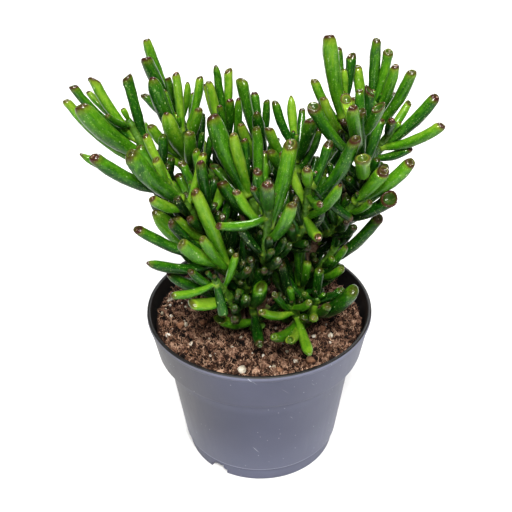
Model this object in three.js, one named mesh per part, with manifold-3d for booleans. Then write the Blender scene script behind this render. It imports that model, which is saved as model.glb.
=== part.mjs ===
// A jade plant of the finger-leaved kind in a round plastic nursery pot. Millimetres, +Z up.
// The origin is on the pot's axis, at the plane that the pot stands on; -Y is the front.
import * as THREE from 'three';
import { mergeVertices } from 'three/addons/utils/BufferGeometryUtils.js';
import Module from 'manifold-3d';

// ---- Pot: a standard 120 mm pot, 90 mm tall ----
const RIM_RADIUS = 60;
const POT_HEIGHT = 90;
const WALL = 1.2;
const BAND_LOW_Z = 66.3; // lower edge of the wide band under the rim
const BAND_LOW_RADIUS = 55.4;
const WALL_TOP_RADIUS = 50.8;
const WALL_LOW_RADIUS = 43.2;
const STEP_Z = 9.4; // the wall ends here, in a small step above the foot
const FOOT_RADIUS = 41;
const FOOT_RING = 6; // width of the ring that the pot stands on
const FLOOR_Z = 6; // underside of the raised floor inside that ring
const POT_SIDES = 32;
const NOTCH_WIDTH = 10.6;
const NOTCH_HEIGHT = 5;
const NOTCH_ANGLES = [-125, 55]; // degrees from +X
const DRAIN_RADIUS = 4;
const DRAIN_CIRCLE = 27;
const DRAINS = 6;
const DRAIN_SIDES = 6;

// ---- Soil ----
const SOIL_Z = 83; // mean height of its surface
const SOIL_RELIEF = 1.6; // how far the surface rises and falls
const SOIL_RINGS = [56.2, 30]; // radii at which its surface is shaped
const GAP = 0.3; // kept between pieces that touch

// ---- Stems: foot, bend and head of each, with its radius at foot and head ----
const STEM_SIDES = 6;
const STEM_STEPS = 4;
const TWIG_SIDES = 4;
const TWIG_STEPS = 2;
const TWIG_RADIUS = 2.6; // where a twig leaves its stem
const SHOOT_RADIUS = 2.3; // where a twig becomes a leafy shoot
const FORK_LOWEST = 0.4; // no twig leaves its stem below this share of the stem
const TWIG_RISE = 0.8; // least rise of a twig for each millimetre that it spreads
const BUD_RADIUS = 1.6;
const BUD_RISE = 2.5; // mm that the bud stands above its youngest pair of leaves
const COLLAR = 3.5; // bare length of a leafy shoot below its lowest pair of leaves
const STEMS = {
  left: { foot: [-12, -6, 60], bend: [-8, -12, 112], head: [-33, 2, 156], radii: [5.0, 3.0] },
  middle: { foot: [-1, -6, 60], bend: [-4, -8, 105], head: [8, -8, 144], radii: [5.2, 3.2] },
  right: { foot: [13, 0, 60], bend: [14, 6, 105], head: [45, 6, 158], radii: [5.0, 3.0] },
  front: { foot: [12, -18, 60], bend: [13, -16, 78], head: [19, -18, 90], radii: [3.8, 2.8] },
  sprout: { foot: [-3, -18, 60], bend: [-3, -18, 72], head: [-1, -18, 88], radii: [3.2, 2.6] },
  back: { foot: [-3, 12, 60], bend: [-4, 10, 105], head: [-8, 26, 146], radii: [4.8, 3.0] },
};

// ---- Leafy shoots ----
// joint and tip: where the lowest pair of leaves grows, and where the bud is.
// pairs, leaf, roll, open: how many pairs, a leaf's usual length, the turn of the first pair about the
// shoot and how far the lowest pair opens, in degrees.
// reach: the leaves that show most, as [pair, x, y, z of the leaf's end, then how many times the usual
// it is in thickness, in width across and in flare at its mouth]. A shoot at the back has none.
const SHOOTS = {
  far_left: { stem: 'left', joint: [-50, -8, 178], tip: [-59, -4, 199], pairs: 4, leaf: 34, roll: 10,
    open: 60,
    reach: [[3, -88, -4, 212, 0.8], [3, -79, -18, 216, 1.6, 1.1, 1], [2, -60, 4, 220, 1, 1, 1.2],
      [1, -76, 2, 221, 1, 1, 1.3], [1, -84, -4, 219, 0.8, 1, 1.2], [0, -68, -16, 210, 0.8],
      [0, -80, 10, 210, 0.8]] },
  left_top: { stem: 'left', joint: [-34, 6, 170], tip: [-37, 8, 189], pairs: 4, leaf: 34, roll: 40,
    open: 45,
    reach: [[1, -48, 2, 220, 1.35, 1.1, 0.95], [2, -42, -6, 206, 1.2, 1.3, 0.8],
      [0, -38, 12, 218, 1, 1, 1.1], [1, -27, -2, 206, 1.1, 1, 0.9], [2, -31, -14, 200, 1.1, 1.1, 1],
      [3, -51, 2, 196, 1.2], [3, -44, 6, 180, 1.1]] },
  left_crown: { stem: 'back', joint: [-35, 28, 173], tip: [-40, 30, 192], pairs: 4, leaf: 32, roll: 20,
    open: 45,
    reach: [[0, -53, 32, 227, 1, 1, 1], [1, -51, 22, 222, 1.2, 1, 1.2], [0, -45, 22, 211, 0.9],
      [1, -34, 30, 205, 0.9, 1, 0.7], [1, -27, 36, 205, 1, 1, 1]] },
  left_front: { stem: 'left', joint: [-33, -30, 170], tip: [-41, -34, 185], pairs: 4, leaf: 32,
    roll: 70, open: 60,
    reach: [[2, -54, -46, 207, 1.6, 1, 1.1], [1, -71, -44, 204, 1.2, 1, 1],
      [0, -78, -36, 201, 0.8, 1, 0.8], [1, -50, -26, 205, 0.9], [2, -47, -48, 185, 1.1, 1, 1]] },
  left_mid: { stem: 'left', joint: [-20, -20, 144], tip: [-25, -20, 165], pairs: 4, leaf: 30, roll: 50,
    open: 50,
    reach: [[0, -27, -22, 194, 1, 1, 0.9], [1, -29, -32, 196, 1, 1, 0.9], [2, -31, -36, 170],
      [1, -16, -10, 171, 1.2, 1.2, 1], [2, -36, -30, 170]] },
  low_left: { stem: 'left', joint: [-12, -32, 132], tip: [-22, -36, 146], pairs: 4, leaf: 32, roll: 20,
    open: 60,
    reach: [[0, -56, -38, 163, 1, 1, 1.1], [1, -51, -50, 152, 1, 1, 0.8], [1, -35, -50, 163, 1.4, 1, 1],
      [1, -40, -42, 169], [2, -25, -50, 165], [2, -29, -34, 182, 1.2, 1, 0.9],
      [2, -46, -26, 168, 1.3, 1.2, 0.9], [3, -5, -46, 145]] },
  left_foot: { stem: 'left', joint: [-15, -36, 122], tip: [-20, -42, 135], pairs: 3, leaf: 24, roll: 60,
    open: 75,
    reach: [[2, -43, -40, 139, 1.1, 1, 0.8], [1, -32, -46, 145, 1, 1, 0.9],
      [1, -40, -56, 137, 0.9, 1, 1], [2, -30, -52, 131, 1.1, 1.7, 0.9],
      [2, -21, -46, 117, 1.2, 1, 1]] },
  centre_left: { stem: 'middle', joint: [0, -14, 153], tip: [-6, -12, 172], pairs: 4, leaf: 34,
    roll: 30, open: 50,
    reach: [[1, -21, -10, 207, 1.55, 1.05, 0.95], [1, -11, -18, 201, 1.05, 1, 1], [0, -6, -8, 193],
      [3, -17, -22, 178, 1.2, 1.2, 1], [1, 1, -2, 196, 1, 1.2, 1]] },
  back_left: { stem: 'back', joint: [-13, 24, 163], tip: [-16, 27, 182], pairs: 4, leaf: 30, roll: 0,
    open: 45,
    reach: [[1, -26, 34, 202, 1, 1, 1], [0, -20, 34, 212, 0.9, 1, 0.8],
      [0, -14, 38, 208, 0.95, 1, 1.25], [1, -13, 18, 201, 0.9, 1.1, 1.1], [2, -18, 16, 199, 0.8],
      [3, -9, 19, 201, 0.8], [2, -22, 28, 207, 0.9]] },
  back_mid: { stem: 'back', joint: [5, 28, 155], tip: [3, 30, 174], pairs: 3, leaf: 30, roll: 50,
    open: 45,
    reach: [[1, -7, 34, 205, 1.1, 1.5, 1.2], [0, 5, 30, 195, 0.95, 1, 1], [2, -8, 14, 190, 0.9],
      [1, 0, 16, 195, 1, 1.2, 1]] },
  centre_back: { stem: 'middle', joint: [20, 10, 159], tip: [19, 12, 177], pairs: 4, leaf: 32, roll: 50,
    open: 45,
    reach: [[0, 9, 20, 199, 1, 1, 1.1], [0, 17, 24, 200, 1, 1, 0.8], [1, 23, 30, 190, 0.9],
      [1, 26, 2, 198, 1.2, 1.3, 1.2], [2, 5, 0, 194, 1, 1.2, 1], [2, 30, 10, 189, 1.1]] },
  front_heart: { stem: 'middle', joint: [4, -38, 156], tip: [5, -42, 177], pairs: 4, leaf: 32, roll: 15,
    open: 65,
    reach: [[1, -18, -54, 174, 1, 1, 0.9], [0, 4, -64, 201, 1.3, 1, 1.1], [0, -2, -50, 191, 0.9],
      [1, 0, -42, 195, 1, 1.1, 1.2], [1, 15, -32, 203, 1.35, 1, 1], [2, 15, -54, 185, 1.2, 1.1, 0.9],
      [2, -10, -34, 180, 1.1, 1, 1]] },
  right_heart: { stem: 'middle', joint: [22, -32, 165], tip: [23, -38, 186], pairs: 4, leaf: 30,
    roll: 50, open: 65,
    reach: [[0, 21, -54, 202, 1.1, 1, 1], [1, 32, -30, 202, 1, 1, 1.3], [1, 42, -46, 212, 1.1, 1, 1],
      [2, 37, -48, 192, 1, 1.1, 0.9], [0, 27, -58, 187, 0.9, 1, 1], [1, 43, -40, 166, 0.95, 1, 1],
      [2, 27, -54, 167, 1.2, 1, 0.9]] },
  right_front: { stem: 'right', joint: [49, -18, 180], tip: [45, -24, 202], pairs: 4, leaf: 30,
    roll: 30, open: 60,
    reach: [[1, 41, -42, 226, 1.15, 1, 1], [2, 25, -22, 216, 1.1, 1, 1.4],
      [1, 52, -38, 224, 1.1, 1.1, 1.4], [0, 40, -14, 217, 1.2, 1, 1.2], [0, 45, -34, 218, 0.9, 1, 1.2],
      [3, 48, -50, 204, 1.1, 1.1, 1.3]] },
  right_top: { stem: 'right', joint: [44, 14, 180], tip: [42, 16, 198], pairs: 4, leaf: 32, roll: 0,
    open: 45,
    reach: [[1, 34, 16, 234, 1.4, 1, 1], [1, 40, 30, 222, 0.9, 1, 0.9], [0, 46, 24, 221, 1.05, 1, 1.3],
      [0, 42, 18, 216, 0.9, 1, 0.8], [2, 28, 20, 210, 1.05, 1, 1.15], [2, 31, 2, 209],
      [2, 48, 2, 208, 1.3, 1.1, 1]] },
  right_high: { stem: 'right', joint: [55, 14, 179], tip: [57, 12, 199], pairs: 4, leaf: 34, roll: 45,
    open: 50,
    reach: [[1, 57, 20, 230, 1, 1, 0.9], [0, 59, 28, 214, 0.8], [0, 63, 20, 224, 1, 1, 1.2],
      [1, 65, 8, 222, 1.1, 1, 1], [2, 75, 10, 217, 1.15, 1, 1.1]] },
  far_right: { stem: 'right', joint: [52, 4, 170], tip: [63, 2, 189], pairs: 4, leaf: 36, roll: 20,
    open: 55,
    reach: [[1, 85, 6, 207, 1.2, 1, 1.1], [1, 87, -6, 198, 1.15, 1, 1.1], [0, 71, 12, 203],
      [0, 62, -12, 204], [3, 74, 0, 183, 1.1, 1.2, 1]] },
  right_low: { stem: 'right', joint: [41, -18, 155], tip: [46, -25, 168], pairs: 3, leaf: 30, roll: 20,
    open: 60,
    reach: [[0, 70, -27, 190, 1.2, 1.1, 0.9], [2, 62, -32, 175, 1.1, 1.3, 1.6],
      [1, 51, -38, 176, 0.75, 1, 1.2], [0, 59, -18, 169, 0.7], [1, 51, -35, 193, 1.3, 1.1, 1.2]] },
  right_foot: { stem: 'right', joint: [29, -8, 114], tip: [38, -10, 131], pairs: 3, leaf: 24, roll: 20,
    open: 60,
    reach: [[1, 59, -13, 152, 1.1, 1.1, 1], [0, 37, -8, 146], [1, 47, -4, 139, 1.1], [2, 41, -26, 131],
      [1, 36, -24, 136, 0.9], [2, 43, -20, 140, 0.8]] },
  rosette: { stem: 'front', joint: [20, -23, 97], tip: [16, -30, 111], pairs: 4, leaf: 22, roll: 10,
    open: 80,
    reach: [[1, 1, -46, 120, 0.95, 1.2, 0.9], [1, 8, -36, 124, 0.9], [0, 15, -36, 127, 0.9],
      [2, 10, -26, 134, 1.1, 1, 1], [0, 24, -44, 124, 1, 1, 1], [2, 7, -54, 111, 1, 1.2, 0.9],
      [2, 24, -60, 106, 1, 1.1, 0.8], [1, 14, -58, 113, 0.9]] },
  rosette_side: { stem: 'front', joint: [27, -18, 97], tip: [29, -24, 110], pairs: 4, leaf: 24,
    roll: 40, open: 75,
    reach: [[1, 30, -24, 129, 1.1, 1, 1.1], [0, 22, -34, 122, 0.9], [1, 41, -32, 118, 1.1],
      [3, 45, -40, 132, 1.3, 1.3, 0.9], [2, 33, -42, 120], [2, 26, -46, 116]] },
  inner_right: { stem: 'middle', joint: [20, -12, 96], tip: [22, -14, 113], pairs: 3, leaf: 24,
    roll: 30, open: 60,
    reach: [[1, 21, -14, 134, 1, 1.1, 1], [0, 24, -26, 135], [1, 36, -8, 127], [0, 17, -20, 146]] },
  foot_mid: { stem: 'sprout', joint: [-2, -19, 94], tip: [-4, -23, 108], pairs: 3, leaf: 26, roll: 20,
    open: 60,
    reach: [[1, -10, -24, 134, 1.2, 1.5, 0.9], [0, 0, -34, 127, 1.7, 1.4, 0.9],
      [2, 0, -44, 98, 1.1, 1.2, 0.9], [2, -21, -36, 109, 1.2, 1.3, 0.9]] },
  side_left: { stem: 'left', joint: [-33, -6, 134], tip: [-40, -6, 147], pairs: 3, leaf: 24, roll: 20,
    open: 60,
    reach: [[1, -52, -10, 163, 1.1, 1, 0.8], [0, -44, 4, 157], [0, -42, -16, 150], [2, -48, 0, 164],
      [2, -40, -14, 164], [1, -34, 4, 160]] },
  side_right: { stem: 'right', joint: [34, 8, 116], tip: [40, 14, 131], pairs: 2, leaf: 28, roll: 40,
    open: 50 },
  back_left_high: { stem: 'back', joint: [-22, 34, 138], tip: [-32, 42, 150], pairs: 3, leaf: 28,
    roll: 20, open: 60 },
  back_high: { stem: 'back', joint: [3, 38, 132], tip: [4, 46, 146], pairs: 3, leaf: 28, roll: 50,
    open: 55 },
  back_right_high: { stem: 'right', joint: [32, 34, 144], tip: [40, 42, 156], pairs: 3, leaf: 28,
    roll: 10, open: 60 },
  back_left_low: { stem: 'back', joint: [-18, 32, 110], tip: [-32, 45, 121], pairs: 3, leaf: 26,
    roll: 45, open: 65 },
  back_low: { stem: 'back', joint: [2, 34, 100], tip: [4, 50, 112], pairs: 3, leaf: 26, roll: 15,
    open: 65 },
  back_right_low: { stem: 'right', joint: [26, 28, 110], tip: [38, 42, 121], pairs: 3, leaf: 26,
    roll: 30, open: 65 },
  foot_left: { stem: 'left', joint: [-25, 8, 100], tip: [-34, 13, 111], pairs: 3, leaf: 24, roll: 0,
    open: 60 },
};

// ---- Leaves ----
const PAIR_SIZES = [0.72, 0.92, 1.0, 0.92]; // length of a leaf in each pair, from the bud down
const UPRIGHT_OPEN = 20; // degrees that the youngest pair opens
const CURL = 0.5; // how strongly a leaf turns up towards its end
const SAG = 0.4; // how far a reaching leaf sets out below the straight line to its end
const LEAF_SIDES = 5;
const LEAF_RINGS = [0, 0.6]; // where along a leaf its sections are
const LONG_LEAF_RINGS = [0, 0.4, 0.8];
const LONG_LEAF = 44;
const ROOT_OFFSET = 0.8; // mm that a leaf's root lies off its shoot's axis
const MOUTH_TILT = 0.45; // how obliquely the mouth at a leaf's end is cut
const MOUTH_DEPTH = 0.6; // mm
const SEED = 101;

// ---- Room between leaves of different shoots ----
const BEADS = [0.14, 0.26, 0.38, 0.5, 0.62, 0.74, 0.87, 1]; // where along a leaf its room is tested
const ROOM = 0.8; // least space kept between two leaves
const TWIG_ROOM = 1.5; // least space kept between a twig and another stem or shoot
const NEAR = 22; // beads further apart than this are not tested
const INNER_RIM = 54; // inside this radius the soil is below, and outside it the rim
const ROUNDS = 60;

const wasm = await Module();
wasm.setup();

const UP = new THREE.Vector3(0, 0, 1);
const vec = (a) => new THREE.Vector3(a[0], a[1], a[2]);
const radians = (degrees) => (degrees * Math.PI) / 180;
const mix = (a, b, t) => a + (b - a) * t;
const clamp = (v, lo, hi) => Math.min(hi, Math.max(lo, v));

// Straight lines through [t, value] points.
function along(points, t) {
  for (let i = 1; i < points.length; i++) {
    const [t0, v0] = points[i - 1];
    const [t1, v1] = points[i];
    if (t <= t1) return mix(v0, v1, clamp((t - t0) / (t1 - t0), 0, 1));
  }
  return points[points.length - 1][1];
}

// A repeatable random draw: the same whole-number rule gives the same plant anywhere.
function seeded(seed) {
  let state = seed;
  const draw = (lo = 0, hi = 1) => {
    state = (state * 1664525 + 1013904223) % 4294967296;
    return lo + ((hi - lo) * state) / 4294967296;
  };
  for (let i = 0; i < 3; i++) draw();
  return draw;
}

// ---- Materials ----
const finish = (color, roughness) => new THREE.MeshStandardMaterial({ color, roughness, metalness: 0 });
const POT_PLASTIC = finish(0x6b7082, 0.45);
const POTTING_MIX = finish(0x5a4033, 0.95);
const BARK = finish(0x7d6a4e, 0.8);
const LEAF = finish(0x4f9a1e, 0.3);

// ---- Solids ----
function meshOf(name, geometry, material) {
  const mesh = new THREE.Mesh(geometry, material);
  mesh.name = name;
  return mesh;
}

function solidOf(geometry) {
  const bare = geometry.clone();
  for (const name of ['normal', 'uv']) bare.deleteAttribute(name);
  const merged = mergeVertices(bare, 1e-4);
  return new wasm.Manifold(new wasm.Mesh({
    numProp: 3,
    vertProperties: new Float32Array(merged.attributes.position.array),
    triVerts: new Uint32Array(merged.index.array),
  }));
}

function geometryOf(solid) {
  const mesh = solid.getMesh();
  const geometry = new THREE.BufferGeometry();
  geometry.setAttribute('position', new THREE.BufferAttribute(mesh.vertProperties.slice(), 3));
  geometry.setIndex(new THREE.BufferAttribute(mesh.triVerts.slice(), 1));
  return geometry;
}

// The pieces grown together: the outer body alone, so that no loose scrap or sealed hollow is left.
function joined(solids) {
  const whole = solids.reduce((sum, solid) => sum.add(solid));
  return whole.decompose().reduce((most, body) => (body.volume() > most.volume() ? body : most));
}

// A closed skin over rings of points that all have the same count. It ends flat, or in a fan round sunk.
function skin(rings, sunk) {
  const sides = rings[0].length;
  const points = rings.flat();
  const end = points.length - sides;
  const faces = [];
  for (let i = 0; i < sides; i++) {
    const j = (i + 1) % sides;
    for (let a = 0; a < end; a += sides) {
      const b = a + sides;
      faces.push(a + i, a + j, b + j, a + i, b + j, b + i);
    }
    if (sunk) faces.push(end + sides, end + i, end + j);
  }
  for (let i = 1; i + 1 < sides; i++) {
    faces.push(0, i + 1, i);
    if (!sunk) faces.push(end, end + i, end + i + 1);
  }
  if (sunk) points.push(sunk);
  const geometry = new THREE.BufferGeometry();
  const places = points.flatMap((p) => p.toArray());
  geometry.setAttribute('position', new THREE.Float32BufferAttribute(places, 3));
  geometry.setIndex(faces);
  return geometry;
}

// The point and the direction of a bow from a through b to c.
function bow(a, b, c, t) {
  const curve = new THREE.QuadraticBezierCurve3(a, b, c);
  return { at: curve.getPoint(t), ahead: curve.getTangent(t) };
}

// Points of an ellipse round a centre; x and y are the directions of its half widths.
function ring(centre, x, y, wide, deep, sides) {
  const points = [];
  for (let i = 0; i < sides; i++) {
    const turn = (2 * Math.PI * i) / sides;
    const across = x.clone().multiplyScalar(wide * Math.cos(turn));
    points.push(across.addScaledVector(y, deep * Math.sin(turn)).add(centre));
  }
  return points;
}

// A round tube along a bow, with flat ends. Its far end is cut square to facing, where that is given.
function tube([a, b, c], [radiusStart, radiusEnd], sides, steps, facing) {
  const rings = [];
  const start = bow(a, b, c, 0);
  let x = new THREE.Vector3().crossVectors(start.ahead, new THREE.Vector3(0, 1, 0)).normalize();
  for (let k = 0; k <= steps; k++) {
    const { at, ahead } = bow(a, b, c, k / steps);
    if (facing && k === steps) ahead.copy(facing);
    const y = new THREE.Vector3().crossVectors(ahead, x).normalize();
    x = new THREE.Vector3().crossVectors(y, ahead).normalize();
    const radius = mix(radiusStart, radiusEnd, k / steps);
    rings.push(ring(at, x, y, radius, radius, sides));
  }
  return solidOf(skin(rings));
}

// ---- The pot ----
function pot() {
  const outside = [
    [FOOT_RADIUS - FOOT_RING, 0], [FOOT_RADIUS, 0], [FOOT_RADIUS, STEP_Z - 1], [WALL_LOW_RADIUS, STEP_Z],
    [WALL_TOP_RADIUS, BAND_LOW_Z], [BAND_LOW_RADIUS, BAND_LOW_Z], [RIM_RADIUS - 0.9, POT_HEIGHT - 3.2],
    [RIM_RADIUS, POT_HEIGHT - 2.2], [RIM_RADIUS - 0.4, POT_HEIGHT],
  ];
  const inside = [
    [RIM_RADIUS - 2.2, POT_HEIGHT], [BAND_LOW_RADIUS - WALL, BAND_LOW_Z + WALL],
    [WALL_TOP_RADIUS - WALL, BAND_LOW_Z + WALL], [WALL_LOW_RADIUS - WALL, STEP_Z + WALL],
    [FOOT_RADIUS - WALL, STEP_Z], [FOOT_RADIUS - WALL, FLOOR_Z + WALL], [0, FLOOR_Z + WALL], [0, FLOOR_Z],
    [FOOT_RADIUS - FOOT_RING, FLOOR_Z],
  ];
  const profile = [...outside, ...inside, outside[0]].map(([radius, z]) => new THREE.Vector2(radius, z));
  let body = solidOf(new THREE.LatheGeometry(profile, POT_SIDES).rotateX(Math.PI / 2));
  for (const angle of NOTCH_ANGLES) {
    const notch = new THREE.BoxGeometry(FOOT_RING * 3, NOTCH_WIDTH, NOTCH_HEIGHT * 2)
      .translate(FOOT_RADIUS, 0, 0).rotateZ(radians(angle));
    body = body.subtract(solidOf(notch));
  }
  for (let i = 0; i < DRAINS; i++) {
    const drain = new THREE.CylinderGeometry(DRAIN_RADIUS, DRAIN_RADIUS, WALL * 4, DRAIN_SIDES)
      .rotateX(Math.PI / 2).translate(DRAIN_CIRCLE, 0, FLOOR_Z).rotateZ((2 * Math.PI * (i + 0.5)) / DRAINS);
    body = body.subtract(solidOf(drain));
  }
  return body;
}

// ---- The soil ----
function soilHeight(x, y) {
  const swell = Math.sin(x * 0.11 + 1.3) * Math.cos(y * 0.09 + 0.4) + 0.6 * Math.sin(x * 0.23 - y * 0.19);
  return SOIL_Z + SOIL_RELIEF * 0.6 * swell - y * 0.012 - x * 0.012;
}

function soil(holes) {
  const profile = [
    [FOOT_RADIUS - WALL - GAP, FLOOR_Z + WALL + GAP], [FOOT_RADIUS - WALL - GAP, STEP_Z],
    [WALL_LOW_RADIUS - WALL - GAP, STEP_Z + WALL + GAP],
    [WALL_TOP_RADIUS - WALL - GAP, BAND_LOW_Z + WALL + GAP],
    [BAND_LOW_RADIUS - WALL - GAP, BAND_LOW_Z + WALL + GAP],
  ];
  const circle = (radius, z) => {
    const points = [];
    for (let i = 0; i < POT_SIDES; i++) {
      const turn = (2 * Math.PI * i) / POT_SIDES;
      const [x, y] = [radius * Math.cos(turn), radius * Math.sin(turn)];
      points.push(new THREE.Vector3(x, y, z ?? soilHeight(x, y)));
    }
    return points;
  };
  const rings = profile.map(([radius, z]) => circle(radius, z));
  for (const radius of SOIL_RINGS) rings.push(circle(radius));
  const body = solidOf(skin(rings, new THREE.Vector3(0, 0, soilHeight(0, 0))));
  return holes.reduce((left, hole) => left.subtract(hole), body);
}

// ---- How the plant grows ----
// The leaf pairs of every shoot, each leaf as base, middle and end of its bow.
function growLeaves(shoot, index) {
  const draw = seeded(SEED + 37 * index);
  const joint = vec(shoot.joint);
  const tip = vec(shoot.tip);
  const axis = tip.clone().sub(joint).normalize();
  const side = new THREE.Vector3(axis.z, 0, -axis.x).normalize();
  const front = new THREE.Vector3().crossVectors(side, axis);
  const climb = axis.clone().multiplyScalar(0.45).addScaledVector(UP, 0.55);
  const leaves = [];
  for (let pair = 0; pair < shoot.pairs; pair++) {
    const share = pair / (shoot.pairs - 1);
    const node = tip.clone().lerp(joint, share);
    const opening = UPRIGHT_OPEN + (shoot.open - UPRIGHT_OPEN) * share ** 0.8;
    for (let half = 0; half < 2; half++) {
      const turn = radians(shoot.roll + 90 * pair + 180 * half + draw(-14, 14));
      const lean = radians(opening + draw(-7, 7));
      const length = shoot.leaf * PAIR_SIZES[pair] * draw(0.84, 1.08);
      const radius = length * 0.05 + 0.95 + draw(-0.15, 0.25);
      const outward = side.clone().multiplyScalar(Math.cos(turn)).addScaledVector(front, Math.sin(turn));
      const set = axis.clone().multiplyScalar(Math.cos(lean)).addScaledVector(outward, Math.sin(lean));
      const base = node.clone().addScaledVector(outward, ROOT_OFFSET);
      const bend = set.clone().addScaledVector(climb, CURL).addScaledVector(side, draw(-0.12, 0.12))
        .addScaledVector(front, draw(-0.12, 0.12)).normalize();
      const middle = base.clone().addScaledVector(set, length * 0.45);
      const end = middle.clone().addScaledVector(bend, length * 0.55);
      const wide = draw(1, 1.15);
      const flare = draw(0.9, 1.15);
      leaves.push({ pair, node, base, middle, end, radius, wide, flare, axis });
    }
  }
  return reaching(leaves, shoot, { joint, tip, axis, climb });
}

// Each reaching leaf takes the place of the leaf of the rule that it is most like.
function reaching(leaves, shoot, { joint, tip, axis, climb }) {
  const grown = [...leaves];
  for (const [pair, x, y, z, thick = 1, wide = 1, flare = 1.05] of shoot.reach ?? []) {
    const end = new THREE.Vector3(x, y, z);
    const heading = end.clone().sub(tip.clone().lerp(joint, pair / (shoot.pairs - 1))).normalize();
    const likeness = (leaf) => (
      leaf.end.clone().sub(leaf.base).normalize().dot(heading) - 0.3 * Math.abs(leaf.pair - pair));
    const free = grown.filter((leaf) => !leaf.reaches);
    const like = free.reduce((best, leaf) => (likeness(leaf) > likeness(best) ? leaf : best));
    const outward = end.clone().sub(like.node).projectOnPlane(axis).normalize();
    const base = like.node.clone().addScaledVector(outward, ROOT_OFFSET);
    const length = end.distanceTo(base);
    const straight = end.clone().sub(base).divideScalar(length);
    const set = straight.clone().addScaledVector(climb, -SAG).normalize();
    const middle = base.clone().addScaledVector(set, length * 0.45);
    const radius = (1.55 + length * 0.028) * thick;
    grown[grown.indexOf(like)] = { ...like, base, middle, end, radius, wide, flare, reaches: true };
  }
  return grown;
}

// Thickness along a leaf, as a share of its greatest.
const LEAF_SHAPE = [[0, 0.55], [0.1, 0.58], [0.35, 0.78], [0.6, 0.92], [0.8, 1], [0.93, 1], [1, 0.92]];

// The place on a stem where a twig leaves it: the highest from which the twig still rises steeply enough.
function forkOf({ foot, bend, head }, collar) {
  let fork = null;
  for (let twentieth = FORK_LOWEST * 20; twentieth <= 20; twentieth++) {
    const { at } = bow(vec(foot), vec(bend), vec(head), twentieth / 20);
    const steep = collar.z - at.z >= TWIG_RISE * Math.hypot(collar.x - at.x, collar.y - at.y);
    if (steep || !fork) fork = at;
  }
  return fork;
}

const shoots = Object.entries(SHOOTS).map(([name, shoot], index) => {
  const joint = vec(shoot.joint);
  const tip = vec(shoot.tip);
  const axis = tip.clone().sub(joint).normalize();
  const collar = joint.clone().addScaledVector(axis, -COLLAR);
  const fork = forkOf(STEMS[shoot.stem], collar);
  const middle = collar.clone().addScaledVector(axis, -0.5 * collar.distanceTo(fork));
  return { name, shoot, index, tip, axis, collar, fork, middle, leaves: growLeaves(shoot, index) };
});

// Beads along a bow, each with the stem and the shoot that it belongs to.
function beadsOf([a, b, c], [from, to], steps, owner) {
  const beads = [];
  for (let k = 0; k <= steps; k++) {
    const t = k / steps;
    beads.push({ t, at: bow(a, b, c, t).at, radius: mix(from, to, t), ...owner });
  }
  return beads;
}
const stemBeads = () => Object.entries(STEMS).flatMap(([stem, { foot, bend, head, radii }]) => (
  beadsOf([vec(foot), vec(bend), vec(head)], radii, 16, { stem })));
const twigBeads = () => shoots.map((s) => (
  beadsOf([s.fork, s.middle, s.collar], [TWIG_RADIUS, SHOOT_RADIUS], 12,
    { stem: s.shoot.stem, shoot: s.index })));
const stalkBeads = () => shoots.flatMap((s) => {
  const bud = s.tip.clone().addScaledVector(s.axis, BUD_RISE);
  const halfway = s.collar.clone().lerp(bud, 0.5);
  return beadsOf([s.collar, halfway, bud], [SHOOT_RADIUS, BUD_RADIUS], 8, { shoot: s.index });
});

// A twig bends clear of other shoots, and of other stems with their twigs.
function makeTwigRoom() {
  const posts = [...stemBeads(), ...stalkBeads()];
  for (let round = 0; round < ROUNDS; round++) {
    const twigs = twigBeads();
    twigs.forEach((beads, index) => {
      const others = [...posts, ...twigs.flat()].filter((other) => other.shoot !== index
        && other.stem !== shoots[index].shoot.stem);
      const pull = new THREE.Vector3();
      for (const bead of beads) {
        for (const other of others) {
          const least = bead.radius + other.radius + TWIG_ROOM;
          const gap = bead.at.distanceTo(other.at);
          if (gap >= least) continue;
          const away = bead.at.clone().sub(other.at);
          pull.addScaledVector(away, ((least - gap) / gap) * bead.t * (1 - bead.t));
        }
      }
      shoots[index].middle.add(pull.clampLength(0, 1.5));
    });
  }
}

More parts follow.
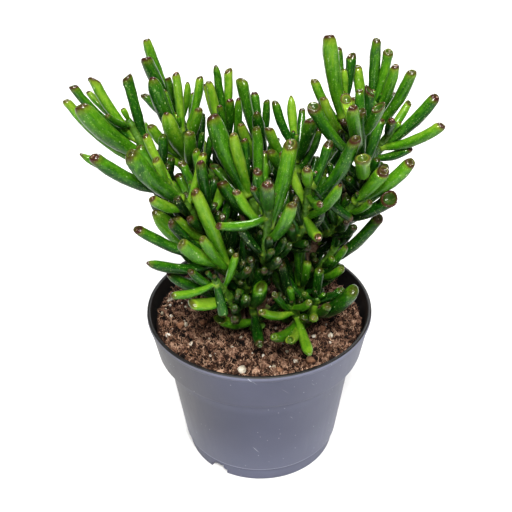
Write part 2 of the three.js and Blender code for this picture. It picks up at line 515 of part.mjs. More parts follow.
// Leaves bend clear of other shoots, stems, the soil and the rim. Each leaf is tested as a row of beads.
function makeRoom() {
  const leaves = shoots.flatMap((s) => s.leaves.map((leaf) => ({ leaf, owner: s.index })));
  const fixed = [...stemBeads(), ...twigBeads().flat(), ...stalkBeads()];
  const beads = leaves.flatMap(({ leaf, owner }, index) => BEADS.map((t) => ({
    t, index, owner, at: new THREE.Vector3(), push: new THREE.Vector3(),
    radius: leaf.radius * leaf.wide ** 0.7 * along(LEAF_SHAPE, t),
  })));
  const halves = leaves.map(({ leaf: { base, middle, end } }) =>
    [middle.distanceTo(base), end.distanceTo(middle)]);
  const apart = (bead, other, otherAt, least, share) => {
    const gap = bead.at.distanceTo(otherAt);
    if (gap >= least) return;
    const shove = bead.at.clone().sub(otherAt).multiplyScalar(((least - gap) / (gap + 1e-9)) * share);
    bead.push.add(shove);
    if (other) other.push.sub(shove);
  };
  const place = () => beads.forEach((bead) => {
    const { base, middle, end } = leaves[bead.index].leaf;
    const u = 1 - bead.t;
    bead.at.copy(base).multiplyScalar(u * u).addScaledVector(middle, 2 * bead.t * u);
    bead.at.addScaledVector(end, bead.t * bead.t);
    bead.push.set(0, 0, 0);
  });
  let near = [];
  for (let round = 0; round < ROUNDS; round++) {
    place();
    if (round % 8 === 0) near = neighbours(beads);
    for (const [a, b, least] of near) apart(a, b, b.at, least, 0.35);
    for (const bead of beads) {
      for (const post of fixed) {
        if (post.shoot === bead.owner && bead.t < 0.4) continue;
        apart(bead, null, post.at, bead.radius + post.radius + ROOM, 0.5);
      }
      const ground = Math.hypot(bead.at.x, bead.at.y) < INNER_RIM ? SOIL_Z + SOIL_RELIEF : POT_HEIGHT;
      bead.push.z += Math.max(0, ground + bead.radius + ROOM - bead.at.z) * 0.6;
    }
    leaves.forEach(({ leaf }, index) => {
      const pull = new THREE.Vector3();
      for (const bead of beads.slice(index * BEADS.length, (index + 1) * BEADS.length)) {
        pull.addScaledVector(bead.push, bead.t);
      }
      const ease = leaf.reaches ? 0.6 : 1;
      leaf.end.add(pull.clone().multiplyScalar(0.6 * ease).clampLength(0, 2));
      leaf.middle.add(pull.multiplyScalar(0.3 * ease).clampLength(0, 2));
      leaf.middle.sub(leaf.base).setLength(halves[index][0]).add(leaf.base);
      leaf.end.sub(leaf.middle).setLength(halves[index][1]).add(leaf.middle);
    });
  }
}

// Pairs of beads that could touch, with the least distance each pair keeps.
function neighbours(beads) {
  const found = [];
  for (let i = 0; i < beads.length; i++) {
    for (let j = i + 1; j < beads.length; j++) {
      const [a, b] = [beads[i], beads[j]];
      if (a.index === b.index || a.at.distanceTo(b.at) > NEAR) continue;
      const sisters = a.owner === b.owner;
      if (sisters && (a.t < 0.45 || b.t < 0.45)) continue;
      found.push([a, b, a.radius + b.radius + (sisters ? 0 : ROOM)]);
    }
  }
  return found;
}

// ---- A leaf: a bowed tube, narrow at its base, with an oblique, slightly sunken mouth ----
function leafSolid(leaf) {
  const length = leaf.base.distanceTo(leaf.end);
  const stations = length > LONG_LEAF ? LONG_LEAF_RINGS : LEAF_RINGS;
  const rings = stations.map((t) => {
    const { at, ahead } = bow(leaf.base, leaf.middle, leaf.end, t);
    const { x, y } = across(leaf, ahead);
    const radius = leaf.radius * along(LEAF_SHAPE, t) * (t > 0.9 ? leaf.flare : 1);
    return ring(at, x, y, radius * leaf.wide, radius, LEAF_SIDES);
  });
  const { at: end, ahead } = bow(leaf.base, leaf.middle, leaf.end, 1);
  const { x, y } = across(leaf, ahead);
  const mouth = leaf.radius * along(LEAF_SHAPE, 1) * leaf.flare;
  const lip = ring(end, x, y, mouth * leaf.wide, mouth, LEAF_SIDES);
  lip.forEach((point, i) => {
    point.addScaledVector(ahead, -MOUTH_TILT * mouth * Math.sin((2 * Math.PI * i) / LEAF_SIDES));
  });
  rings.push(lip);
  return solidOf(skin(rings, leaf.reaches && end.clone().addScaledVector(ahead, -MOUTH_DEPTH)));
}

// Directions across a leaf: x along its width, y towards its shoot's axis.
function across(leaf, ahead) {
  const x = new THREE.Vector3().crossVectors(leaf.axis, ahead);
  if (x.length() < 0.05) x.set(ahead.z, 0, -ahead.x);
  x.normalize();
  return { x, y: new THREE.Vector3().crossVectors(ahead, x).normalize() };
}

function shootSolid(s) {
  const start = s.collar.clone().addScaledVector(s.axis, GAP / 2);
  const end = s.tip.clone().addScaledVector(s.axis, BUD_RISE);
  const stalk = tube([start, start.clone().lerp(end, 0.5), end], [SHOOT_RADIUS, BUD_RADIUS], TWIG_SIDES, 1);
  return joined([stalk, ...s.leaves.map(leafSolid)]);
}

function stemSolid(stemName, stem) {
  const line = [vec(stem.foot), vec(stem.bend), vec(stem.head)];
  const parts = [tube(line, stem.radii, STEM_SIDES, STEM_STEPS)];
  for (const s of shoots.filter(({ shoot }) => shoot.stem === stemName)) {
    const end = s.collar.clone().addScaledVector(s.axis, -GAP / 2);
    parts.push(
      tube([s.fork, s.middle, end], [TWIG_RADIUS, SHOOT_RADIUS], TWIG_SIDES, TWIG_STEPS, s.axis));
  }
  return joined(parts);
}

makeTwigRoom();
makeRoom();

const plant = new THREE.Group();
plant.add(meshOf('pot', geometryOf(pot()), POT_PLASTIC));
const holes = Object.values(STEMS).map(({ foot, bend, head, radii }) => {
  const below = vec(foot).addScaledVector(UP, -GAP);
  return tube([below, vec(bend), vec(head)], radii.map((radius) => radius + GAP), STEM_SIDES, STEM_STEPS);
});
plant.add(meshOf('soil', geometryOf(soil(holes)), POTTING_MIX));
for (const [name, stem] of Object.entries(STEMS)) {
  plant.add(meshOf(`stem_${name}`, geometryOf(stemSolid(name, stem)), BARK));
}
for (const s of shoots) plant.add(meshOf(`shoot_${s.name}`, geometryOf(shootSolid(s)), LEAF));

export default plant;
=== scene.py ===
"""A finger-leaved jade plant in a plastic nursery pot. Metres, +Z up, -Y to the front."""

import math

import bmesh
import bpy
import numpy as np
from mathutils import Matrix, Vector


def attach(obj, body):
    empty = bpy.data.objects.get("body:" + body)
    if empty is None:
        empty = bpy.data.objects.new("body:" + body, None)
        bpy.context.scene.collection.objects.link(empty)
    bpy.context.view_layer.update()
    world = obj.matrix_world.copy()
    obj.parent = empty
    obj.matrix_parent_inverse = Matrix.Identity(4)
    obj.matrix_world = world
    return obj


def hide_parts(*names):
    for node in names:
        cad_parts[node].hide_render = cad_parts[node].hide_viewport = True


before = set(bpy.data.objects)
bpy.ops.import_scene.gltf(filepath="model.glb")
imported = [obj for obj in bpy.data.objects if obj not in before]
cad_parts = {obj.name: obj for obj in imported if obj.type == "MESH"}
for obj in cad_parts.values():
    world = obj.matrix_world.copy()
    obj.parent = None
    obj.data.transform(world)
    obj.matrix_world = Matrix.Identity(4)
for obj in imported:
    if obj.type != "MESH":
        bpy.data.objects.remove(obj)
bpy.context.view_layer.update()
MM = 0.001

# ---- Sizes, in millimetres ----
RIM_RADIUS = 60
POT_HEIGHT = 90
WALL = 1.2
BAND_LOW_Z = 66.3
BAND_LOW_RADIUS = 55.4
WALL_TOP_RADIUS = 50.8
WALL_LOW_RADIUS = 43.2
STEP_Z = 9.4
FOOT_RADIUS = 41
FOOT_RING = 6
FLOOR_Z = 6
NOTCH_WIDTH = 10.6
NOTCH_HEIGHT = 5
NOTCH_ANGLES = (-125, 55)
DRAIN_RADIUS = 4
DRAIN_CIRCLE = 27
DRAINS = 6
SOIL_Z = 83
SOIL_RELIEF = 1.6
GAP = 0.3

TWIG_RADIUS = 2.6
SHOOT_RADIUS = 2.3
FORK_LOWEST = 0.4
TWIG_RISE = 0.8
BUD_RADIUS = 1.6
BUD_RISE = 2.5
COLLAR = 3.5
STEMS = {
    "left": dict(foot=(-12, -6, 60), bend=(-8, -12, 112), head=(-33, 2, 156), radii=(5.0, 3.0)),
    "middle": dict(foot=(-1, -6, 60), bend=(-4, -8, 105), head=(8, -8, 144), radii=(5.2, 3.2)),
    "right": dict(foot=(13, 0, 60), bend=(14, 6, 105), head=(45, 6, 158), radii=(5.0, 3.0)),
    "front": dict(foot=(12, -18, 60), bend=(13, -16, 78), head=(19, -18, 90), radii=(3.8, 2.8)),
    "sprout": dict(foot=(-3, -18, 60), bend=(-3, -18, 72), head=(-1, -18, 88), radii=(3.2, 2.6)),
    "back": dict(foot=(-3, 12, 60), bend=(-4, 10, 105), head=(-8, 26, 146), radii=(4.8, 3.0)),
}
# Leafy shoots. joint and tip: where the lowest pair of leaves grows, and where the bud is. pairs, leaf,
# roll, open: how many pairs, a leaf's usual length, the turn of the first pair about the shoot and how far
# the lowest pair opens, in degrees. reach: the leaves that show most, as pair, x, y, z of the leaf's end,
# then how many times the usual it is in thickness, in width across and in flare at its mouth.
SHOOTS = {
    "far_left": dict(stem="left", joint=(-50, -8, 178), tip=(-59, -4, 199), pairs=4, leaf=34, roll=10,
        open=60, reach=[(3, -88, -4, 212, 0.8), (3, -79, -18, 216, 1.6, 1.1, 1),
        (2, -60, 4, 220, 1, 1, 1.2), (1, -76, 2, 221, 1, 1, 1.3), (1, -84, -4, 219, 0.8, 1, 1.2),
        (0, -68, -16, 210, 0.8), (0, -80, 10, 210, 0.8)]),
    "left_top": dict(stem="left", joint=(-34, 6, 170), tip=(-37, 8, 189), pairs=4, leaf=34, roll=40,
        open=45, reach=[(1, -48, 2, 220, 1.35, 1.1, 0.95), (2, -42, -6, 206, 1.2, 1.3, 0.8),
        (0, -38, 12, 218, 1, 1, 1.1), (1, -27, -2, 206, 1.1, 1, 0.9), (2, -31, -14, 200, 1.1, 1.1, 1),
        (3, -51, 2, 196, 1.2), (3, -44, 6, 180, 1.1)]),
    "left_crown": dict(stem="back", joint=(-35, 28, 173), tip=(-40, 30, 192), pairs=4, leaf=32, roll=20,
        open=45, reach=[(0, -53, 32, 227, 1, 1, 1), (1, -51, 22, 222, 1.2, 1, 1.2), (0, -45, 22, 211, 0.9),
        (1, -34, 30, 205, 0.9, 1, 0.7), (1, -27, 36, 205, 1, 1, 1)]),
    "left_front": dict(stem="left", joint=(-33, -30, 170), tip=(-41, -34, 185), pairs=4, leaf=32, roll=70,
        open=60, reach=[(2, -54, -46, 207, 1.6, 1, 1.1), (1, -71, -44, 204, 1.2, 1, 1),
        (0, -78, -36, 201, 0.8, 1, 0.8), (1, -50, -26, 205, 0.9), (2, -47, -48, 185, 1.1, 1, 1)]),
    "left_mid": dict(stem="left", joint=(-20, -20, 144), tip=(-25, -20, 165), pairs=4, leaf=30, roll=50,
        open=50, reach=[(0, -27, -22, 194, 1, 1, 0.9), (1, -29, -32, 196, 1, 1, 0.9), (2, -31, -36, 170),
        (1, -16, -10, 171, 1.2, 1.2, 1), (2, -36, -30, 170)]),
    "low_left": dict(stem="left", joint=(-12, -32, 132), tip=(-22, -36, 146), pairs=4, leaf=32, roll=20,
        open=60, reach=[(0, -56, -38, 163, 1, 1, 1.1), (1, -51, -50, 152, 1, 1, 0.8),
        (1, -35, -50, 163, 1.4, 1, 1), (1, -40, -42, 169), (2, -25, -50, 165),
        (2, -29, -34, 182, 1.2, 1, 0.9), (2, -46, -26, 168, 1.3, 1.2, 0.9), (3, -5, -46, 145)]),
    "left_foot": dict(stem="left", joint=(-15, -36, 122), tip=(-20, -42, 135), pairs=3, leaf=24, roll=60,
        open=75, reach=[(2, -43, -40, 139, 1.1, 1, 0.8), (1, -32, -46, 145, 1, 1, 0.9),
        (1, -40, -56, 137, 0.9, 1, 1), (2, -30, -52, 131, 1.1, 1.7, 0.9), (2, -21, -46, 117, 1.2, 1, 1)]),
    "centre_left": dict(stem="middle", joint=(0, -14, 153), tip=(-6, -12, 172), pairs=4, leaf=34, roll=30,
        open=50, reach=[(1, -21, -10, 207, 1.55, 1.05, 0.95), (1, -11, -18, 201, 1.05, 1, 1),
        (0, -6, -8, 193), (3, -17, -22, 178, 1.2, 1.2, 1), (1, 1, -2, 196, 1, 1.2, 1)]),
    "back_left": dict(stem="back", joint=(-13, 24, 163), tip=(-16, 27, 182), pairs=4, leaf=30, roll=0,
        open=45, reach=[(1, -26, 34, 202, 1, 1, 1), (0, -20, 34, 212, 0.9, 1, 0.8),
        (0, -14, 38, 208, 0.95, 1, 1.25), (1, -13, 18, 201, 0.9, 1.1, 1.1), (2, -18, 16, 199, 0.8),
        (3, -9, 19, 201, 0.8), (2, -22, 28, 207, 0.9)]),
    "back_mid": dict(stem="back", joint=(5, 28, 155), tip=(3, 30, 174), pairs=3, leaf=30, roll=50, open=45,
        reach=[(1, -7, 34, 205, 1.1, 1.5, 1.2), (0, 5, 30, 195, 0.95, 1, 1), (2, -8, 14, 190, 0.9),
        (1, 0, 16, 195, 1, 1.2, 1)]),
    "centre_back": dict(stem="middle", joint=(20, 10, 159), tip=(19, 12, 177), pairs=4, leaf=32, roll=50,
        open=45, reach=[(0, 9, 20, 199, 1, 1, 1.1), (0, 17, 24, 200, 1, 1, 0.8), (1, 23, 30, 190, 0.9),
        (1, 26, 2, 198, 1.2, 1.3, 1.2), (2, 5, 0, 194, 1, 1.2, 1), (2, 30, 10, 189, 1.1)]),
    "front_heart": dict(stem="middle", joint=(4, -38, 156), tip=(5, -42, 177), pairs=4, leaf=32, roll=15,
        open=65, reach=[(1, -18, -54, 174, 1, 1, 0.9), (0, 4, -64, 201, 1.3, 1, 1.1),
        (0, -2, -50, 191, 0.9), (1, 0, -42, 195, 1, 1.1, 1.2), (1, 15, -32, 203, 1.35, 1, 1),
        (2, 15, -54, 185, 1.2, 1.1, 0.9), (2, -10, -34, 180, 1.1, 1, 1)]),
    "right_heart": dict(stem="middle", joint=(22, -32, 165), tip=(23, -38, 186), pairs=4, leaf=30, roll=50,
        open=65, reach=[(0, 21, -54, 202, 1.1, 1, 1), (1, 32, -30, 202, 1, 1, 1.3),
        (1, 42, -46, 212, 1.1, 1, 1), (2, 37, -48, 192, 1, 1.1, 0.9), (0, 27, -58, 187, 0.9, 1, 1),
        (1, 43, -40, 166, 0.95, 1, 1), (2, 27, -54, 167, 1.2, 1, 0.9)]),
    "right_front": dict(stem="right", joint=(49, -18, 180), tip=(45, -24, 202), pairs=4, leaf=30, roll=30,
        open=60, reach=[(1, 41, -42, 226, 1.15, 1, 1), (2, 25, -22, 216, 1.1, 1, 1.4),
        (1, 52, -38, 224, 1.1, 1.1, 1.4), (0, 40, -14, 217, 1.2, 1, 1.2), (0, 45, -34, 218, 0.9, 1, 1.2),
        (3, 48, -50, 204, 1.1, 1.1, 1.3)]),
    "right_top": dict(stem="right", joint=(44, 14, 180), tip=(42, 16, 198), pairs=4, leaf=32, roll=0,
        open=45, reach=[(1, 34, 16, 234, 1.4, 1, 1), (1, 40, 30, 222, 0.9, 1, 0.9),
        (0, 46, 24, 221, 1.05, 1, 1.3), (0, 42, 18, 216, 0.9, 1, 0.8), (2, 28, 20, 210, 1.05, 1, 1.15),
        (2, 31, 2, 209), (2, 48, 2, 208, 1.3, 1.1, 1)]),
    "right_high": dict(stem="right", joint=(55, 14, 179), tip=(57, 12, 199), pairs=4, leaf=34, roll=45,
        open=50, reach=[(1, 57, 20, 230, 1, 1, 0.9), (0, 59, 28, 214, 0.8), (0, 63, 20, 224, 1, 1, 1.2),
        (1, 65, 8, 222, 1.1, 1, 1), (2, 75, 10, 217, 1.15, 1, 1.1)]),
    "far_right": dict(stem="right", joint=(52, 4, 170), tip=(63, 2, 189), pairs=4, leaf=36, roll=20,
        open=55, reach=[(1, 85, 6, 207, 1.2, 1, 1.1), (1, 87, -6, 198, 1.15, 1, 1.1), (0, 71, 12, 203),
        (0, 62, -12, 204), (3, 74, 0, 183, 1.1, 1.2, 1)]),
    "right_low": dict(stem="right", joint=(41, -18, 155), tip=(46, -25, 168), pairs=3, leaf=30, roll=20,
        open=60, reach=[(0, 70, -27, 190, 1.2, 1.1, 0.9), (2, 62, -32, 175, 1.1, 1.3, 1.6),
        (1, 51, -38, 176, 0.75, 1, 1.2), (0, 59, -18, 169, 0.7), (1, 51, -35, 193, 1.3, 1.1, 1.2)]),
    "right_foot": dict(stem="right", joint=(29, -8, 114), tip=(38, -10, 131), pairs=3, leaf=24, roll=20,
        open=60, reach=[(1, 59, -13, 152, 1.1, 1.1, 1), (0, 37, -8, 146), (1, 47, -4, 139, 1.1),
        (2, 41, -26, 131), (1, 36, -24, 136, 0.9), (2, 43, -20, 140, 0.8)]),
    "rosette": dict(stem="front", joint=(20, -23, 97), tip=(16, -30, 111), pairs=4, leaf=22, roll=10,
        open=80, reach=[(1, 1, -46, 120, 0.95, 1.2, 0.9), (1, 8, -36, 124, 0.9), (0, 15, -36, 127, 0.9),
        (2, 10, -26, 134, 1.1, 1, 1), (0, 24, -44, 124, 1, 1, 1), (2, 7, -54, 111, 1, 1.2, 0.9),
        (2, 24, -60, 106, 1, 1.1, 0.8), (1, 14, -58, 113, 0.9)]),
    "rosette_side": dict(stem="front", joint=(27, -18, 97), tip=(29, -24, 110), pairs=4, leaf=24, roll=40,
        open=75, reach=[(1, 30, -24, 129, 1.1, 1, 1.1), (0, 22, -34, 122, 0.9), (1, 41, -32, 118, 1.1),
        (3, 45, -40, 132, 1.3, 1.3, 0.9), (2, 33, -42, 120), (2, 26, -46, 116)]),
    "inner_right": dict(stem="middle", joint=(20, -12, 96), tip=(22, -14, 113), pairs=3, leaf=24, roll=30,
        open=60, reach=[(1, 21, -14, 134, 1, 1.1, 1), (0, 24, -26, 135), (1, 36, -8, 127),
        (0, 17, -20, 146)]),
    "foot_mid": dict(stem="sprout", joint=(-2, -19, 94), tip=(-4, -23, 108), pairs=3, leaf=26, roll=20,
        open=60, reach=[(1, -10, -24, 134, 1.2, 1.5, 0.9), (0, 0, -34, 127, 1.7, 1.4, 0.9),
        (2, 0, -44, 98, 1.1, 1.2, 0.9), (2, -21, -36, 109, 1.2, 1.3, 0.9)]),
    "side_left": dict(stem="left", joint=(-33, -6, 134), tip=(-40, -6, 147), pairs=3, leaf=24, roll=20,
        open=60, reach=[(1, -52, -10, 163, 1.1, 1, 0.8), (0, -44, 4, 157), (0, -42, -16, 150),
        (2, -48, 0, 164), (2, -40, -14, 164), (1, -34, 4, 160)]),
    "side_right": dict(stem="right", joint=(34, 8, 116), tip=(40, 14, 131), pairs=2, leaf=28, roll=40,
        open=50),
    "back_left_high": dict(stem="back", joint=(-22, 34, 138), tip=(-32, 42, 150), pairs=3, leaf=28, roll=20,
        open=60),
    "back_high": dict(stem="back", joint=(3, 38, 132), tip=(4, 46, 146), pairs=3, leaf=28, roll=50,
        open=55),
    "back_right_high": dict(stem="right", joint=(32, 34, 144), tip=(40, 42, 156), pairs=3, leaf=28, roll=10,
        open=60),
    "back_left_low": dict(stem="back", joint=(-18, 32, 110), tip=(-32, 45, 121), pairs=3, leaf=26, roll=45,
        open=65),
    "back_low": dict(stem="back", joint=(2, 34, 100), tip=(4, 50, 112), pairs=3, leaf=26, roll=15, open=65),
    "back_right_low": dict(stem="right", joint=(26, 28, 110), tip=(38, 42, 121), pairs=3, leaf=26, roll=30,
        open=65),
    "foot_left": dict(stem="left", joint=(-25, 8, 100), tip=(-34, 13, 111), pairs=3, leaf=24, roll=0,
        open=60),
}

# ---- The rule that the leaves grow by ----
PAIR_SIZES = (0.72, 0.92, 1.0, 0.92)
UPRIGHT_OPEN = 20
CURL = 0.5
SAG = 0.4
ROOT_OFFSET = 0.8
KNEE = 0.45
SEED = 101
LEAF_SHAPE = ((0, 0.55), (0.1, 0.58), (0.35, 0.78), (0.6, 0.92), (0.8, 1), (0.93, 1), (1, 0.92))
BEADS = np.array((0.14, 0.26, 0.38, 0.5, 0.62, 0.74, 0.87, 1))
ROOM = 0.8
TWIG_ROOM = 1.5
NEAR = 22
INNER_RIM = 54
POST_NEAR = 30
INNER_FIRST = 2.5
INNER_STEP = 4.2
TWIG_BARE = 9
STEM_BARE = 56
ROUNDS = 60
SEARCH_EVERY = 8
ROOT_SHARE = 0.45
STALK_SHARE = 0.4
LEAF_SHOVE = 0.35
POST_SHOVE = 0.5
GROUND_SHOVE = 0.6
END_GIVES = 0.6
MIDDLE_GIVES = 0.3
LEAF_STRIDE = 2
TWIG_STRIDE = 1.5
STEM_STEPS = 16
TWIG_STEPS = 12
STALK_STEPS = 8
REACH_EASE = 0.6
USUAL_FORM = (1, 1, 1.05)
UP = np.array((0.0, 0.0, 1.0))


def vec(values):
    return np.array(values, float)


def unit(v):
    return v / np.linalg.norm(v, axis=-1, keepdims=True)


def clamped(v, longest):
    """v, shortened to the longest length where it is longer."""
    size = np.linalg.norm(v, axis=-1, keepdims=True)
    return v * np.minimum(1, longest / np.maximum(size, 1e-12))


def bow(a, b, c, t):
    """The points and directions of a bow from a through b to c."""
    t = np.asarray(t, float)[..., None]
    at = a * (1 - t) ** 2 + b * 2 * t * (1 - t) + c * t * t
    return at, unit((b - a) * (1 - t) + (c - b) * t)


def seeded(seed):
    """A repeatable random draw: the same whole-number rule gives the same plant anywhere."""
    state = seed

    def draw(lo=0.0, hi=1.0):
        nonlocal state
        state = (state * 1664525 + 1013904223) % 4294967296
        return lo + (hi - lo) * state / 4294967296

    for _ in range(3):
        draw()
    return draw


def grow_leaves(shoot, index):
    """The leaf pairs of a shoot, each leaf as the base, middle and end of its bow."""
    draw = seeded(SEED + 37 * index)
    joint, tip = vec(shoot["joint"]), vec(shoot["tip"])
    axis = unit(tip - joint)
    side = unit(vec((axis[2], 0, -axis[0])))
    front = np.cross(side, axis)
    climb = axis * 0.45 + UP * 0.55
    leaves = []
    for pair in range(shoot["pairs"]):
        share = pair / (shoot["pairs"] - 1)
        node = tip + (joint - tip) * share
        opening = UPRIGHT_OPEN + (shoot["open"] - UPRIGHT_OPEN) * share**0.8
        for half in range(2):
            turn = math.radians(shoot["roll"] + 90 * pair + 180 * half + draw(-14, 14))
            lean = math.radians(opening + draw(-7, 7))
            length = shoot["leaf"] * PAIR_SIZES[pair] * draw(0.84, 1.08)
            radius = length * 0.05 + 0.95 + draw(-0.15, 0.25)
            outward = side * math.cos(turn) + front * math.sin(turn)
            heading = axis * math.cos(lean) + outward * math.sin(lean)
            base = node + outward * ROOT_OFFSET
            bend = heading + climb * CURL + side * draw(-0.12, 0.12)
            bend = unit(bend + front * draw(-0.12, 0.12))
            middle = base + heading * length * KNEE
            end = middle + bend * length * (1 - KNEE)
            leaves.append(dict(pair=pair, node=node, base=base, middle=middle, end=end, radius=radius,
                wide=draw(1, 1.15), flare=draw(0.9, 1.15), axis=axis, owner=index, ease=1.0))
    return reaching(leaves, shoot, joint, tip, axis, climb)


def reaching(leaves, shoot, joint, tip, axis, climb):
    """Each reaching leaf takes the place of the leaf of the rule that it is most like."""
    for pair, x, y, z, *form in shoot.get("reach", ()):
        thick, wide, flare = *form, *USUAL_FORM[len(form):]
        end = vec((x, y, z))
        heading = unit(end - (tip + (joint - tip) * pair / (shoot["pairs"] - 1)))
        free = [k for k, leaf in enumerate(leaves) if leaf["ease"] == 1]
        if not free:
            continue
        like = max(free, key=lambda k: unit(leaves[k]["end"] - leaves[k]["base"]) @ heading
            - 0.3 * abs(leaves[k]["pair"] - pair))
        node = leaves[like]["node"]
        outward = end - node
        outward = unit(outward - axis * (outward @ axis))
        base = node + outward * ROOT_OFFSET
        length = np.linalg.norm(end - base)
        heading = unit((end - base) / length - climb * SAG)
        middle = base + heading * length * KNEE
        radius = (1.55 + length * 0.028) * thick
        leaves[like] = dict(leaves[like], base=base, middle=middle, end=end, radius=radius, wide=wide,
            flare=flare, ease=REACH_EASE)
    return leaves


def spine_of(stem):
    return [vec(stem[key]) for key in ("foot", "bend", "head")]


def fork_of(stem, collar):
    """The place on a stem where a twig leaves it: the highest from which it still rises steeply enough."""
    fork = None
    for twentieth in range(round(FORK_LOWEST * 20), 21):
        at, _ = bow(*spine_of(stem), twentieth / 20)
        steep = collar[2] - at[2] >= TWIG_RISE * math.hypot(collar[0] - at[0], collar[1] - at[1])
        if steep or fork is None:
            fork = at
    return fork


def sprout_shoots():
    shoots = []
    for index, (name, shoot) in enumerate(SHOOTS.items()):
        joint, tip = vec(shoot["joint"]), vec(shoot["tip"])
        axis = unit(tip - joint)
        collar = joint - axis * COLLAR
        fork = fork_of(STEMS[shoot["stem"]], collar)
        middle = collar - axis * 0.5 * np.linalg.norm(collar - fork)
        shoots.append(dict(name=name, stem=shoot["stem"], index=index, joint=joint, tip=tip, axis=axis,
            collar=collar, fork=fork, middle=middle, leaves=grow_leaves(shoot, index)))
    return shoots


STEM_NUMBER = {name: number for number, name in enumerate(STEMS)}


def bead_row(points, radii, steps, stem=-1, shoot=-1):
    """Beads along a bow, as rows of x, y, z, radius, t, the stem and the shoot that they belong to."""
    t = np.arange(steps + 1) / steps
    at, _ = bow(*points, t)
    radius = radii[0] + (radii[1] - radii[0]) * t
    owner = np.tile((stem, shoot), (steps + 1, 1))
    return np.column_stack((at, radius, t, owner))


def stem_beads():
    return np.vstack([bead_row(spine_of(stem), stem["radii"], STEM_STEPS, stem=STEM_NUMBER[name])
        for name, stem in STEMS.items()])


def twig_beads(s):
    return bead_row((s["fork"], s["middle"], s["collar"]), (TWIG_RADIUS, SHOOT_RADIUS), TWIG_STEPS,
        stem=STEM_NUMBER[s["stem"]], shoot=s["index"])


def stalk_beads(s):
    bud = s["tip"] + s["axis"] * BUD_RISE
    return bead_row((s["collar"], (s["collar"] + bud) / 2, bud), (SHOOT_RADIUS, BUD_RADIUS), STALK_STEPS,
        shoot=s["index"])


def make_twig_room(shoots):
    """A twig bends clear of other shoots, and of other stems with their twigs."""
    posts = np.vstack([stem_beads()] + [stalk_beads(s) for s in shoots])
    for _ in range(ROUNDS):
        twigs = [twig_beads(s) for s in shoots]
        everything = np.vstack([posts] + twigs)
        for s, beads in zip(shoots, twigs):
            others = everything[(everything[:, 6] != s["index"])
                & (everything[:, 5] != STEM_NUMBER[s["stem"]])]
            apart = beads[:, None, :3] - others[None, :, :3]
            gap = np.linalg.norm(apart, axis=2)
            least = beads[:, None, 3] + others[None, :, 3] + TWIG_ROOM
            t = beads[:, 4]
            push = np.where(gap < least, (least - gap) / np.maximum(gap, 1e-9), 0) * (t * (1 - t))[:, None]
            s["middle"] = s["middle"] + clamped((apart * push[..., None]).sum((0, 1)), TWIG_STRIDE)


def posts_of(shoots):
    return np.vstack([stem_beads()] + [twig_beads(s) for s in shoots] + [stalk_beads(s) for s in shoots])


def make_room(leaves, posts):
    """Leaves bend clear of other shoots, stems, the soil and the rim, as much as their ease says."""
    owner = np.repeat([leaf["owner"] for leaf in leaves], len(BEADS))
    number = np.repeat(np.arange(len(leaves)), len(BEADS))
    t = np.tile(BEADS, len(leaves))
    shape = np.interp(t, *zip(*LEAF_SHAPE))
    radius = np.array([leaf["radius"] * leaf["wide"] ** 0.7 for leaf in leaves])[number] * shape
    base, middle, end = (np.array([leaf[key] for leaf in leaves]) for key in ("base", "middle", "end"))
    ease = np.array([leaf["ease"] for leaf in leaves])
    halves = np.linalg.norm(middle - base, axis=1), np.linalg.norm(end - middle, axis=1)
    for round_number in range(ROUNDS):
        at = bow(base[number], middle[number], end[number], t)[0]
        if round_number % SEARCH_EVERY == 0:
            first, second = neighbours(at, number, owner, t, ease[number] > 0)
            sisters = owner[first] == owner[second]
            least = radius[first] + radius[second] + np.where(sisters, 0, ROOM)
            bead, post = np.nonzero(apart_squared(at, posts[:, :3]) < POST_NEAR**2)
            kept = ~((posts[post, 6] == owner[bead]) & (t[bead] < STALK_SHARE))
            bead, post = bead[kept], post[kept]
        push = np.zeros_like(at)
        away = shove(at[first] - at[second], least, LEAF_SHOVE)
        np.add.at(push, first, away)
        np.add.at(push, second, -away)
        room = radius[bead] + posts[post, 3] + ROOM
        np.add.at(push, bead, shove(at[bead] - posts[post, :3], room, POST_SHOVE))
        ground = np.where(np.hypot(at[:, 0], at[:, 1]) < INNER_RIM, SOIL_Z + SOIL_RELIEF, POT_HEIGHT)
        push[:, 2] += np.maximum(0, ground + radius + ROOM - at[:, 2]) * GROUND_SHOVE
        pull = (push * t[:, None]).reshape(len(leaves), len(BEADS), 3).sum(1)
        end = end + clamped(pull * END_GIVES * ease[:, None], LEAF_STRIDE)
        middle = middle + clamped(pull * MIDDLE_GIVES * ease[:, None], LEAF_STRIDE)
        middle = base + unit(middle - base) * halves[0][:, None]
        end = middle + unit(end - middle) * halves[1][:, None]
    for k, leaf in enumerate(leaves):
        leaf["middle"], leaf["end"] = middle[k], end[k]


def shove(apart, room, share):
    """How far to move two beads apart that have less room between them than they should."""
    gap = np.linalg.norm(apart, axis=1)
    return apart * (np.where(gap < room, (room - gap) / (gap + 1e-9), 0) * share)[:, None]


def apart_squared(a, b):
    return (a**2).sum(1)[:, None] + (b**2).sum(1)[None] - 2 * a @ b.T


def neighbours(at, number, owner, t, gives):
    """Pairs of beads that could touch, at least one of which gives way."""
    first, second = np.nonzero(np.triu(apart_squared(at, at) <= NEAR**2, 1))
    kept = (number[first] != number[second]) & (gives[first] | gives[second])
    rooted = (owner[first] == owner[second]) & ((t[first] < ROOT_SHARE) | (t[second] < ROOT_SHARE))
    return first[kept & ~rooted], second[kept & ~rooted]


def inner_leaves(s):
    """Smaller leaves in pairs down the twig of a shoot, which the solids leave out."""
    draw = seeded(SEED + 71 * s["index"] + 5)
    return leaves_along((s["fork"], s["middle"], s["collar"]), TWIG_BARE, 1.6, s["index"], draw)


def stem_leaves(name):
    """The same down the top of a stem."""
    stem, number = STEMS[name], STEM_NUMBER[name]
    draw = seeded(SEED + 17 * number + 3)
    return leaves_along(spine_of(stem), STEM_BARE, stem["radii"][1] * 0.8, 100 + number, draw)


